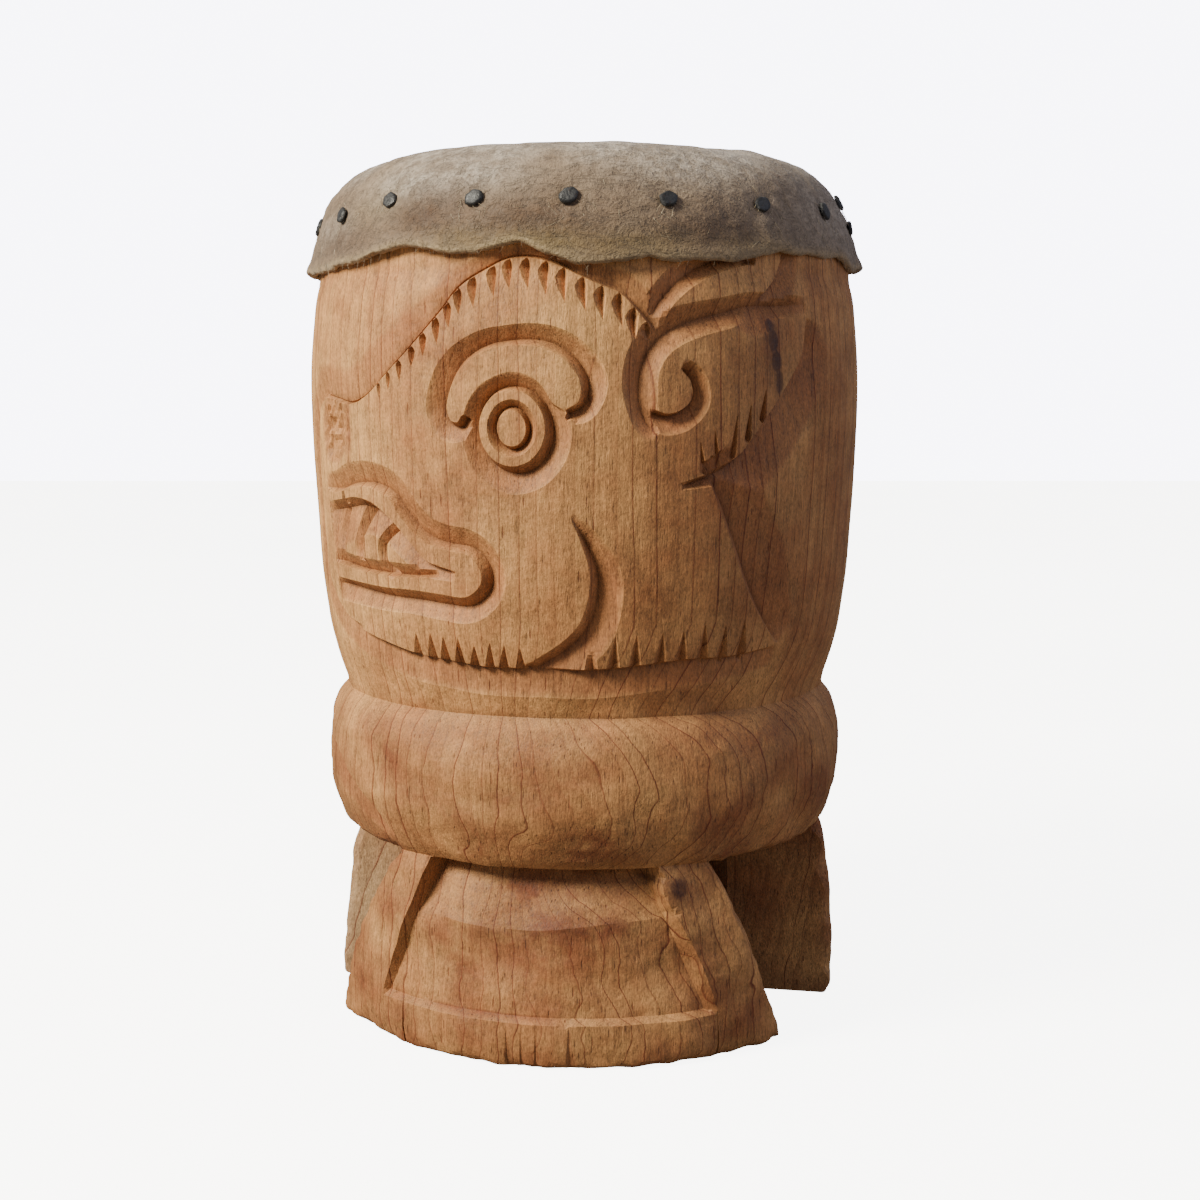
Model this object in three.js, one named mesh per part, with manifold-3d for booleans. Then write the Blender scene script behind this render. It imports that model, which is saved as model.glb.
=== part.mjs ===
// A standing ceremonial drum: a hollowed log on three carved feet, an animal's head in profile
// carved round its front, and a raw hide nailed over its mouth.
// Millimetres, +Z up, the drum stands on z = 0 with its axis on Z and the carved head facing -Y.
import * as THREE from 'three';
import Module from 'manifold-3d';

const wasm = await Module();
wasm.setup();

// ---- driving dimensions ------------------------------------------------------------------------
const BARREL_RADIUS = 150;        // widest radius of the barrel, and the radius arcs are measured on
const DRUM_HEIGHT = 458;          // floor to the playing surface
const FOOT_HEIGHT = 101;          // floor to the underside of the moulding
const WAIST_HEIGHT = 177;         // the sharp groove between the moulding and the barrel
const HIDE_THICKNESS = 3.2;
const HIDE_GAP = 0.3;             // clearance between the hide and the wood under it
const RIM_CORNER_WIDTH = 51;      // radial size of the rounded shoulder of the hide
const RIM_CORNER_HEIGHT = 63;     // height of that shoulder
const RIM_CORNER_POWER = 2.28;    // 2 is an ellipse, more is squarer
const SKIRT_RADIUS = 147.8;       // hide where its shoulder begins
const EDGE_FLARE = 1.0;           // how far the trimmed edge curls out from the wood
const SEGMENTS = 48;              // flats round the axis, the same on hide and wood
const SHOULDER_STEPS = 5;         // flats up the rounded shoulder

// Hollow: wide in the barrel, narrower between the feet.
const BORE_BARREL = 110;
const BORE_FOOT = 82;
const BORE_STEP_LOW = 150;
const BORE_STEP_HIGH = 215;
const MOUTH_CHAMFER = 5;

// Carving depths.
const GROUND_DEPTH = 4.5;
const CHANNEL_DEPTH = 4.8;
const CUT_RISE = 1.6;             // how far a cutter stands out of the wood it cuts
const LONG_STEP = 11;             // length of one step of a cutter along a long line
const SHORT_STEP = 4.5;           // the same round the eye and the curl of the ear
const OVAL_POINTS = 16;

// Nails.
const NAIL_HEIGHT = 427;
const NAIL_HEAD_RADIUS = 4.9;
const NAIL_HEAD_THICKNESS = 2.4;
const SHANK_WIDTH = 2.8;
const SHANK_LENGTH = 21;
const NAIL_CLEARANCE = 0.3;
const NAIL_ANGLES = [-80, -59, -42, -21.5, -3, 16, 37, 58.5, 79, 99, 118, 139, 158, 177, 197, 218, 239, 260];
const NAIL_LIFTS = [-3, -2, 2, 0, 0, -1, -1, 0, -4, 1, -2, 0, 2, -1, 1, -2, 0, 1];
const STRAY_NAIL = { angle: 78, lift: 9 };

// ---- profiles, as [radius, height] ---------------------------------------------------------------
const WOOD_PROFILE = [
  [138.5, 0], [140.4, 4], [140.8, 28], [139.6, 62], [136.6, 86], [132.4, FOOT_HEIGHT],
  [138.0, 113], [142.0, 126], [143.4, 142], [141.8, 157], [137.6, 169],
  [132.0, WAIST_HEIGHT], [136.2, 191], [140.2, 206], [143.8, 226], [147.2, 260],
  [150.0, 325], [149.6, 352], [147.8, 377], [145.4, 390],
];

// Lower edge of the hide, as [angle in degrees, height], trimmed by hand and so never level.
const HIDE_EDGE = [
  [-165, 402], [-140, 398], [-112, 401], [-81, 401], [-62, 400], [-46, 403], [-35, 407], [-24, 403],
  [-11, 407],
  [-1, 397], [12, 400], [27, 400], [38, 405], [57, 406], [71, 402], [92, 403], [120, 399], [150, 404],
];

const DEG = Math.PI / 180;

// ---- surfaces --------------------------------------------------------------------------------------

// Height given, radius of the untouched wood.
function woodRadius(z) {
  for (let i = 1; i < WOOD_PROFILE.length; i += 1) {
    const [r0, z0] = WOOD_PROFILE[i - 1];
    const [r1, z1] = WOOD_PROFILE[i];
    if (z <= z1) return r0 + (r1 - r0) * Math.max(0, z - z0) / (z1 - z0);
  }
  return WOOD_PROFILE[WOOD_PROFILE.length - 1][0];
}

// A point of the unrolled barrel: arc length from the front, height and radius, to x, y, z.
function onBarrel(arc, z, radius) {
  const angle = arc / BARREL_RADIUS;
  return [radius * Math.sin(angle), -radius * Math.cos(angle), z];
}

// The rounded shoulder of the hide, from its skirt to the flat playing surface, moved in by `inset`.
function shoulder(inset, steps) {
  const points = [];
  const centre = [SKIRT_RADIUS - RIM_CORNER_WIDTH, DRUM_HEIGHT - RIM_CORNER_HEIGHT];
  for (let i = 0; i <= steps; i += 1) {
    const angle = (i / steps) * Math.PI / 2;
    const out = Math.cos(angle) ** (2 / RIM_CORNER_POWER);
    const up = Math.sin(angle) ** (2 / RIM_CORNER_POWER);
    points.push([
      centre[0] + (RIM_CORNER_WIDTH - inset) * out,
      centre[1] + (RIM_CORNER_HEIGHT - inset) * up,
    ]);
  }
  return points;
}

// The point of a falling profile where it passes a radius.
function pointAtRadius(profile, radius) {
  const k = profile.findIndex(([r]) => r <= radius);
  const [r0, z0] = profile[k - 1];
  const [r1, z1] = profile[k];
  return [radius, z0 + (z1 - z0) * (r0 - radius) / (r0 - r1)];
}

// Height of the hide's lower edge at an angle in degrees, smoothed between the trimmed points.
function hideEdge(angle) {
  const count = HIDE_EDGE.length;
  for (let i = 0; i < count; i += 1) {
    const [a0, z0] = HIDE_EDGE[i];
    const [a1raw, z1] = HIDE_EDGE[(i + 1) % count];
    const a1 = i === count - 1 ? a1raw + 360 : a1raw;
    const a = angle < HIDE_EDGE[0][0] ? angle + 360 : angle;
    if (a >= a0 && a <= a1) {
      const t = (a - a0) / (a1 - a0);
      return z0 + (z1 - z0) * t * t * (3 - 2 * t);
    }
  }
  return HIDE_EDGE[0][1];
}

// ---- closed meshes and solids ------------------------------------------------------------------------

function signedVolume(points, faces) {
  let sum = 0;
  for (const [a, b, c] of faces) {
    const [ax, ay, az] = points[a];
    const [bx, by, bz] = points[b];
    const [cx, cy, cz] = points[c];
    sum += ax * (by * cz - bz * cy) - ay * (bx * cz - bz * cx) + az * (bx * cy - by * cx);
  }
  return sum / 6;
}

// Points and triangles of a closed surface to a solid, turned outward when its faces point in.
function solid(points, faces) {
  const inverted = signedVolume(points, faces) < 0;
  const turned = inverted ? faces.map(([a, b, c]) => [a, c, b]) : faces;
  return new wasm.Manifold(new wasm.Mesh({
    numProp: 3,
    vertProperties: new Float32Array(points.flat()),
    triVerts: new Uint32Array(turned.flat()),
  }));
}

// A ring of equal closed sections joined side by side into one closed surface.
function loopOfSections(sections) {
  const rows = sections.length;
  const size = sections[0].length;
  const faces = [];
  for (let i = 0; i < rows; i += 1) {
    const next = (i + 1) % rows;
    for (let k = 0; k < size; k += 1) {
      const l = (k + 1) % size;
      faces.push([i * size + k, next * size + k, next * size + l]);
      faces.push([i * size + k, next * size + l, i * size + l]);
    }
  }
  return solid(sections.flat(), faces);
}

// Open row of equal closed sections, closed by a fan at each end.
function rowOfSections(sections) {
  const size = sections[0].length;
  const last = (sections.length - 1) * size;
  const faces = [];
  for (let i = 0; i + 1 < sections.length; i += 1) {
    for (let k = 0; k < size; k += 1) {
      const l = (k + 1) % size;
      faces.push([i * size + k, (i + 1) * size + k, (i + 1) * size + l]);
      faces.push([i * size + k, (i + 1) * size + l, i * size + l]);
    }
  }
  for (let k = 1; k + 1 < size; k += 1) {
    faces.push([0, k, k + 1]);
    faces.push([last, last + k + 1, last + k]);
  }
  return solid(sections.flat(), faces);
}

function joined(solids) {
  return solids.reduce((all, one) => all.add(one));
}

// ---- cutters ---------------------------------------------------------------------------------------------

// Points along a smooth line through [arc, height] points, each with the direction to its right.
function lineOnBarrel(points, closed, step) {
  const curve = new THREE.CatmullRomCurve3(
    points.map(([arc, z]) => new THREE.Vector3(arc, z, 0)), closed, 'centripetal');
  const count = Math.max(3, Math.round(curve.getLength() / step));
  const stations = [];
  for (let i = 0; i < count + (closed ? 0 : 1); i += 1) {
    const at = curve.getPointAt(i / count);
    const along = curve.getTangentAt(i / count);
    stations.push({ at: [at.x, at.y], right: [along.y, -along.x], share: i / count });
  }
  return stations;
}

// A chisel cut that follows a line: a steep wall on the line, the bottom `lean` to its right, and a
// slope that rises to the surface `reach` further on. The ends run out to nothing over one step.
function channel(points, { lean, reach, depth, closed = false, step = LONG_STEP }) {
  const sections = lineOnBarrel(points, closed, step).map(({ at, right, share }) => {
    const fade = closed ? 1 : Math.max(0.12, Math.min(1, 6 * share, 6 * (1 - share)));
    const rise = CUT_RISE / depth;
    const corners = [
      [-lean * rise, CUT_RISE],
      [lean * fade, -depth * fade],
      [lean + reach * (1 + rise), CUT_RISE],
    ];
    return corners.map(([side, height]) => {
      const z = at[1] + right[1] * side;
      return onBarrel(at[0] + right[0] * side, z, woodRadius(z) + height);
    });
  });
  return closed ? loopOfSections(sections) : rowOfSections(sections);
}

function outsideOf(outline, cut) {
  return channel(outline.slice().reverse(), cut);
}

// The channel round an oval island at the eye.
function ringCut({ width, height }, cut) {
  return outsideOf(oval(EYE, width, height, OVAL_POINTS), { ...cut, closed: true, step: SHORT_STEP });
}

// A short spindle-shaped gouge cut from one [arc, height] point to another.
function notch(from, to, width, depth) {
  const along = [to[0] - from[0], to[1] - from[1]];
  const length = Math.hypot(along[0], along[1]);
  const right = [along[1] / length * width / 2, -along[0] / length * width / 2];
  const middle = [(from[0] + to[0]) / 2, (from[1] + to[1]) / 2];
  const place = ([arc, z], height) => onBarrel(arc, z, woodRadius(z) + height);
  const shift = (sign) => [middle[0] + sign * right[0], middle[1] + sign * right[1]];
  const points = [
    place(from, CUT_RISE), place(shift(1), CUT_RISE), place(to, CUT_RISE), place(shift(-1), CUT_RISE),
    place(middle, -depth),
  ];
  const faces = [[0, 1, 4], [1, 2, 4], [2, 3, 4], [3, 0, 4], [0, 3, 1], [1, 3, 2]];
  return solid(points, faces);
}

// An oval on the barrel as [arc, height] points, walked clockwise as seen from outside.
function oval(centre, width, height, count) {
  const points = [];
  for (let i = 0; i < count; i += 1) {
    const angle = -(i / count) * 2 * Math.PI;
    points.push([centre[0] + width / 2 * Math.cos(angle), centre[1] + height / 2 * Math.sin(angle)]);
  }
  return points;
}

// ---- the carved head -----------------------------------------------------------------------------------
// Every outline is listed clockwise, as seen from outside, and walked backwards by the cutters, so
// that the lowered ground lies outside it.

const SNOUT_LINE = [
  [-140, 217], [-158, 222], [-172, 236], [-178, 262], [-180, 300], [-176, 326], [-166, 334],
];
const CROWN_LINE = [
  [-166, 334], [-153, 332], [-136, 331], [-118, 336], [-94, 354], [-72, 375], [-50, 392],
];
const CROWN_TOP_LINE = [[-50, 392], [-39, 397], [-27, 398], [-14, 396]];
const CROWN_BACK_LINE = [[-14, 396], [0, 389], [17, 383], [28, 372], [36, 361]];
const JAW_LINE = [
  [112, 210], [88, 207], [55, 206], [20, 204], [-21, 203], [-55, 203], [-97, 207], [-140, 217],
];
const NECK_LINE = [[58, 301], [67, 283], [75, 265], [84, 247], [97, 228], [112, 210]];

const EYE = [-35, 319];
const EYE_RING = { width: 34, height: 37.5 };
const EYE_GROOVE_WIDTH = 24.5;
const PUPIL = { width: 14.5, height: 17.5 };

const BROW_OUTSIDE = [
  [-60, 321], [-66, 320], [-69, 329], [-67, 338], [-60, 349], [-47, 357], [-32, 359], [-18, 357], [-6, 350],
  [-1, 341], [-2, 331], [-9, 327],
];
const BROW_INSIDE = [
  [-9, 327], [-15, 332], [-20, 339], [-27, 344], [-36, 345], [-46, 342], [-56, 334], [-60, 321],
];

const LIP_OUTSIDE = [
  [-166, 287], [-154, 287], [-138, 289], [-120, 289], [-107, 285], [-97, 274], [-83, 264], [-68, 260],
  [-56, 256],
  [-51, 247], [-57, 238], [-75, 236], [-100, 237], [-125, 238], [-158, 240],
];
const UPPER_LIP_INSIDE = [
  [-66, 250], [-84, 256], [-95, 265], [-106, 274], [-120, 281], [-134, 284], [-160, 282],
];
const LOWER_LIP_INSIDE = [[-156, 248], [-138, 246], [-112, 245], [-88, 245], [-72, 247]];
const FANG_LINE = [[-132, 253], [-127, 266], [-123, 277]];
const GUM_LINE = [[-107, 248], [-111, 254], [-110, 261], [-103, 269]];

const CHEEK_LINE = [[-8, 277], [-3, 269], [2, 259], [4, 247], [2, 234], [-4, 223], [-13, 214], [-28, 206]];

const EAR_LINE = [
  [26, 331], [27, 340], [31, 350], [39, 357], [52, 365], [64, 370], [76, 374], [90, 376], [108, 375],
  [124, 373],
];
const EAR_UNDER_LINE = [
  [124, 373], [121, 356], [112, 343], [102, 332], [88, 315], [77, 305], [63, 298], [48, 293],
];
const CURL_LINE = [[46, 346], [52, 341], [53, 334], [48, 328], [40, 326], [31, 329]];
const HIND_EAR_LINE = [[33, 367], [39, 382], [47, 389], [58, 395], [72, 398]];
const HIND_EAR_TIP_LINE = [[108, 397], [105, 391], [97, 383], [89, 377]];

// Evenly spaced gouge cuts along a line, each starting `lift` inside it and `length` long.
function hairCuts(points, count, { lift, length, width, depth, towards }) {
  const curve = new THREE.CatmullRomCurve3(
    points.map(([arc, z]) => new THREE.Vector3(arc, z, 0)), false, 'centripetal');
  const cuts = [];
  for (let i = 0; i < count; i += 1) {
    const at = curve.getPointAt((i + 0.5) / count);
    const from = [at.x + towards[0] * lift, at.y + towards[1] * lift];
    const to = [from[0] + towards[0] * length, from[1] + towards[1] * length];
    cuts.push(notch(from, to, width, depth));
  }
  return cuts;
}

function headCuts() {
  const ground = { lean: 2.6, depth: GROUND_DEPTH };
  return [
    outsideOf(SNOUT_LINE, { lean: 2, depth: 2.6, reach: 12 }),
    outsideOf(CROWN_LINE, { ...ground, reach: 22 }),
    outsideOf(CROWN_TOP_LINE, { ...ground, depth: 3, reach: 5 }),
    outsideOf(CROWN_BACK_LINE, { ...ground, reach: 10 }),
    outsideOf(JAW_LINE, { lean: 1.6, depth: 3.6, reach: 16 }),
    outsideOf(NECK_LINE, { ...ground, reach: 26 }),
    ...hairCuts(CROWN_LINE.concat(CROWN_TOP_LINE.slice(1), CROWN_BACK_LINE.slice(1)), 19,
      { lift: 2, length: 11, width: 3.6, depth: 2.6, towards: [0.05, -1] }),
    ...hairCuts(JAW_LINE.slice(4, 8), 8, { lift: -2, length: 15, width: 6.5, depth: 3.2, towards: [0, 1] }),
    ...hairCuts(JAW_LINE.slice(0, 5), 8, { lift: -2, length: 18, width: 7, depth: 3.2, towards: [0, 1] }),
  ];
}

function faceCuts() {
  const wall = { lean: 1.8, depth: CHANNEL_DEPTH };
  const grooveWidth = (EYE_GROOVE_WIDTH - PUPIL.width) / 2;
  return [
    ringCut(EYE_RING, { ...wall, reach: 8 }),
    ringCut(PUPIL, { lean: grooveWidth * 0.4, reach: grooveWidth * 0.6, depth: 3.2 }),
    outsideOf(BROW_OUTSIDE, { ...wall, reach: 9 }),
    outsideOf(BROW_INSIDE, { ...wall, lean: 2.4, reach: 2.4 }),
    outsideOf(LIP_OUTSIDE, { ...wall, reach: 9 }),
    outsideOf(UPPER_LIP_INSIDE, { ...wall, depth: 3.6, reach: 6 }),
    outsideOf(LOWER_LIP_INSIDE, { ...wall, depth: 3.2, reach: 4 }),
    outsideOf(FANG_LINE, { lean: 2, reach: 11, depth: 3.4 }),
    outsideOf(GUM_LINE, { lean: 1.6, reach: 6, depth: 3.4 }),
    outsideOf(CHEEK_LINE, { lean: 4.5, reach: 12, depth: CHANNEL_DEPTH }),
  ];
}

function earCuts() {
  const wall = { lean: 1.8, depth: CHANNEL_DEPTH };
  return [
    outsideOf(EAR_LINE, { ...wall, reach: 8 }),
    outsideOf(EAR_UNDER_LINE, { lean: 3, depth: 5.2, reach: 20 }),
    outsideOf(CURL_LINE, { ...wall, depth: 4, reach: 7, step: SHORT_STEP }),
    outsideOf(HIND_EAR_LINE, { ...wall, depth: 4, reach: 7 }),
    outsideOf(HIND_EAR_TIP_LINE, { ...wall, depth: 4, reach: 14 }),
    ...hairCuts(EAR_UNDER_LINE.slice(3), 5, { lift: -1, length: 15, width: 4, depth: 3, towards: [0.1, 1] }),
  ];
}

// ---- feet ------------------------------------------------------------------------------------------------

// Openings between the feet, in degrees: [start and end on the floor, start and end at the roof].
const FOOT_GAPS = [[48, 79, 29, 90], [160, 188, 149, 198], [267, 289, 256, 313]];
const GAP_ROOF = 100;
const GAP_BELOW = 6;              // how far the cutter starts under the floor
const GAP_INNER = 30;
const GAP_OUTER = 210;

// Direction in plan at an angle in degrees from the front.
function compass(degrees) {
  return new THREE.Vector3(Math.sin(degrees * DEG), -Math.cos(degrees * DEG), 0);
}

// Each side of an opening is one flat sawn face: its trace stays parallel and moves out with height.
function footGap([lowStart, lowEnd, highStart, highEnd]) {
  const roofRadius = woodRadius(FOOT_HEIGHT);
  const sides = [[lowStart, highStart], [lowEnd, highEnd]].map(([low, high]) => ({
    along: compass(low),
    shift: compass(low).multiplyScalar(-Math.cos((high - low) * DEG)).add(compass(high))
      .multiplyScalar(roofRadius / GAP_ROOF),
  }));
  const far = compass((lowStart + lowEnd) / 2).multiplyScalar(GAP_OUTER + 40);
  const sections = [-GAP_BELOW, GAP_ROOF].map((z) => {
    const at = ({ along, shift }, radius) => {
      const p = shift.clone().multiplyScalar(z).addScaledVector(along, radius);
      return [p.x, p.y, z];
    };
    return [
      at(sides[0], GAP_INNER), at(sides[0], GAP_OUTER), [far.x, far.y, z],
      at(sides[1], GAP_OUTER), at(sides[1], GAP_INNER),
    ];
  });
  return rowOfSections(sections);
}

// The sunk panel of the front foot: a floor inside bevelled edges, scooped deeper towards its top.
const PANEL = {
  low: 20, high: FOOT_HEIGHT + 3, depth: 6, bevel: 9, ledge: 5, scoopStart: 70, scoopDepth: 6,
  lowLeft: -128, lowRight: 78, highLeft: -95, highRight: 46,
};

function panelFloor(z) {
  const scoop = Math.max(0, z - PANEL.scoopStart) / (PANEL.high - PANEL.scoopStart);
  return Math.min(woodRadius(Math.min(z, FOOT_HEIGHT)), 140.6) - PANEL.depth - PANEL.scoopDepth * scoop;
}

function footPanel() {
  const heights = [PANEL.low, PANEL.low + PANEL.ledge, 48, PANEL.scoopStart, 84, 94, PANEL.high];
  const columns = 9;
  const outside = 158;
  const rows = heights.map((z, row) => {
    const share = (z - PANEL.low) / (PANEL.high - PANEL.low);
    const left = PANEL.lowLeft + (PANEL.highLeft - PANEL.lowLeft) * share;
    const right = PANEL.lowRight + (PANEL.highRight - PANEL.lowRight) * share;
    const floorLeft = left + PANEL.bevel;
    const floorRight = right - PANEL.bevel;
    const points = [];
    for (let i = 0; i <= columns; i += 1) {
      const arc = floorLeft + (floorRight - floorLeft) * i / columns;
      points.push([arc, row === 0 ? 141.5 : panelFloor(z)]);
    }
    return [[left, 141.5], ...points, [right, 141.5]].map(([arc, radius]) => ({ arc, z, radius }));
  });
  const width = rows[0].length;
  const points = [];
  for (const row of rows) for (const p of row) points.push(onBarrel(p.arc, p.z, p.radius));
  for (const row of rows) for (const p of row) points.push(onBarrel(p.arc, p.z, outside));
  return solid(points, slabFaces(rows.length, width));
}

// Triangles of a slab whose inner and outer sides are two equal grids of points.
function slabFaces(rows, width) {
  const layer = rows * width;
  const faces = [];
  for (let j = 0; j + 1 < rows; j += 1) {
    for (let i = 0; i + 1 < width; i += 1) {
      const a = j * width + i;
      const b = a + 1;
      const c = a + width;
      const d = c + 1;
      faces.push([a, b, d], [a, d, c]);
      faces.push([layer + a, layer + d, layer + b], [layer + a, layer + c, layer + d]);
    }
  }
  const rim = [];
  for (let i = 0; i + 1 < width; i += 1) rim.push([i, i + 1]);
  for (let j = 0; j + 1 < rows; j += 1) rim.push([j * width + width - 1, (j + 1) * width + width - 1]);
  for (let i = width - 1; i > 0; i -= 1) rim.push([(rows - 1) * width + i, (rows - 1) * width + i - 1]);
  for (let j = rows - 1; j > 0; j -= 1) rim.push([j * width, (j - 1) * width]);
  for (const [a, b] of rim) faces.push([a, layer + a, layer + b], [a, layer + b, b]);
  return faces;
}

// ---- nails ---------------------------------------------------------------------------------------------

// Outward direction and place on the hide of a nail at an angle in degrees and a height.
function nailSeat(angle, z) {
  const above = hideRadius(z + 3);
  const below = hideRadius(z - 3);
  const lean = Math.atan2(below - above, 6);
  const a = angle * DEG;
  const out = new THREE.Vector3(Math.sin(a) * Math.cos(lean), -Math.cos(a) * Math.cos(lean), Math.sin(lean));
  const r = hideRadius(z);
  return { at: new THREE.Vector3(r * Math.sin(a), -r * Math.cos(a), z), out };
}

// Outer radius of the hide's shoulder at a height.
function hideRadius(z) {
  const up = Math.min(1, Math.max(0, (z - DRUM_HEIGHT + RIM_CORNER_HEIGHT) / RIM_CORNER_HEIGHT));
  const out = (1 - up ** RIM_CORNER_POWER) ** (1 / RIM_CORNER_POWER);
  return SKIRT_RADIUS - RIM_CORNER_WIDTH + RIM_CORNER_WIDTH * out;
}

function allNails() {
  const nails = NAIL_ANGLES.map((angle, i) => ({ angle, z: NAIL_HEIGHT + NAIL_LIFTS[i] }));
  nails.push({ angle: STRAY_NAIL.angle, z: NAIL_HEIGHT + STRAY_NAIL.lift });
  return nails;
}

// A square prism along a nail's axis, from `top` above the hide to `bottom` below it.
function shankPrism({ at, out }, width, top, bottom, tipWidth) {
  const turn = new THREE.Quaternion().setFromUnitVectors(new THREE.Vector3(0, 0, 1), out);
  const sections = [[top, width], [bottom, tipWidth]].map(([height, size]) => {
    const h = size / 2;
    return [[-h, -h], [h, -h], [h, h], [-h, h]].map(([x, y]) => {
      const p = new THREE.Vector3(x, y, height).applyQuaternion(turn).add(at);
      return [p.x, p.y, p.z];
    });
  });
  return rowOfSections(sections);
}

// One forged nail: an uneven many-sided head on a square tapering shank.
function nail(index, { angle, z }) {
  const seat = nailSeat(angle, z);
  const turn = new THREE.Quaternion().setFromUnitVectors(new THREE.Vector3(0, 0, 1), seat.out);
  const sides = 6;
  const ring = (scale, height) => {
    const points = [];
    for (let i = 0; i < sides; i += 1) {
      const around = (i / sides) * 2 * Math.PI + index * 1.7;
      const radius = NAIL_HEAD_RADIUS * scale * (1 + 0.09 * Math.sin(3.1 * i + 2.3 * index));
      const p = new THREE.Vector3(radius * Math.cos(around), radius * Math.sin(around), height);
      p.applyQuaternion(turn).add(seat.at);
      points.push([p.x, p.y, p.z]);
    }
    return points;
  };
  const low = NAIL_CLEARANCE + 0.25;
  const head = rowOfSections([ring(1, low), ring(0.66, low + NAIL_HEAD_THICKNESS)]);
  const shank = shankPrism(seat, SHANK_WIDTH, low + 1, -SHANK_LENGTH, SHANK_WIDTH * 0.45);
  return head.add(shank);
}

function nailHole({ angle, z }) {
  const bore = SHANK_WIDTH + 2 * NAIL_CLEARANCE;
  return shankPrism(nailSeat(angle, z), bore, 6, -SHANK_LENGTH - NAIL_CLEARANCE, bore);
}

// ---- the two big pieces ------------------------------------------------------------------------------

function woodBlank() {
  const rim = shoulder(HIDE_THICKNESS + HIDE_GAP, SHOULDER_STEPS);
  const outer = [...WOOD_PROFILE, ...rim.filter(([r]) => r > BORE_BARREL + MOUTH_CHAMFER)];
  const crest = pointAtRadius(rim, BORE_BARREL + MOUTH_CHAMFER);
  const inner = [
    [BORE_BARREL, crest[1] - MOUTH_CHAMFER], [BORE_BARREL, BORE_STEP_HIGH],
    [BORE_FOOT, BORE_STEP_LOW], [BORE_FOOT, 0],
  ];
  const profile = [...outer, crest, ...inner];
  const sections = [];
  for (let i = 0; i < SEGMENTS; i += 1) {
    const angle = (i / SEGMENTS) * 2 * Math.PI;
    sections.push(profile.map(([r, z]) => [r * Math.sin(angle), -r * Math.cos(angle), z]));
  }
  return loopOfSections(sections);
}

function hideBlank() {
  const outside = shoulder(0, SHOULDER_STEPS).slice(1).reverse();
  const inside = shoulder(HIDE_THICKNESS, SHOULDER_STEPS).slice(1);
  const points = [[0, 0, DRUM_HEIGHT], [0, 0, DRUM_HEIGHT - HIDE_THICKNESS]];
  const columns = [];
  for (let i = 0; i < SEGMENTS; i += 1) {
    const degrees = (i / SEGMENTS) * 360 - 180;
    const edge = hideEdge(degrees);
    const profile = [
      ...outside, [SKIRT_RADIUS + EDGE_FLARE, edge],
      [SKIRT_RADIUS - HIDE_THICKNESS + EDGE_FLARE, edge], ...inside,
    ];
    columns.push(profile.map(([r, z]) => {
      const a = degrees * DEG;
      points.push([r * Math.sin(a), -r * Math.cos(a), z]);
      return points.length - 1;
    }));
  }
  const faces = [];
  for (let i = 0; i < SEGMENTS; i += 1) {
    const here = columns[i];
    const next = columns[(i + 1) % SEGMENTS];
    faces.push([0, here[0], next[0]], [1, next[next.length - 1], here[here.length - 1]]);
    for (let k = 0; k + 1 < here.length; k += 1) {
      faces.push([here[k], here[k + 1], next[k + 1]], [here[k], next[k + 1], next[k]]);
    }
  }
  return solid(points, faces);
}

// ---- assembly -------------------------------------------------------------------------------------------

const MATERIALS = {
  wood: new THREE.MeshStandardMaterial({ color: 0xb98a5e, roughness: 0.72, metalness: 0 }),
  hide: new THREE.MeshStandardMaterial({ color: 0x8f8674, roughness: 0.8, metalness: 0 }),
  iron: new THREE.MeshStandardMaterial({ color: 0x1d1f20, roughness: 0.55, metalness: 0.9 }),
};

function meshOf(name, body, material) {
  const { vertProperties, triVerts } = body.getMesh();
  const geometry = new THREE.BufferGeometry();
  geometry.setAttribute('position', new THREE.BufferAttribute(new Float32Array(vertProperties), 3));
  geometry.setIndex(new THREE.BufferAttribute(new Uint32Array(triVerts), 1));
  geometry.computeVertexNormals();
  const mesh = new THREE.Mesh(geometry, material);
  mesh.name = name;
  return mesh;
}

function buildDrum() {
  const nails = allNails();
  const holes = joined(nails.map(nailHole));
  const cuts = [...headCuts(), ...faceCuts(), ...earCuts(), footPanel(), ...FOOT_GAPS.map(footGap)];
  const carving = joined(cuts);
  const group = new THREE.Group();
  group.add(meshOf('drum_body', woodBlank().subtract(carving).subtract(holes), MATERIALS.wood));
  group.add(meshOf('drum_skin', hideBlank().subtract(holes), MATERIALS.hide));
  nails.forEach((one, i) => {
    group.add(meshOf(`nail_${String(i + 1).padStart(2, '0')}`, nail(i, one), MATERIALS.iron));
  });
  return group;
}

export default buildDrum();
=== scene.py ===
"""A standing ceremonial drum: a carved log on three feet with a raw hide nailed over its mouth.

Sizes are in millimetres until a mesh is made, and a mesh is in metres. The drum stands on z = 0, its
axis on Z, the carved head facing -Y. An "arc" is a length round the log measured on its widest radius,
nought at the front and growing towards +X.
"""
import logging
from dataclasses import dataclass, field
from enum import Enum

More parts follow.
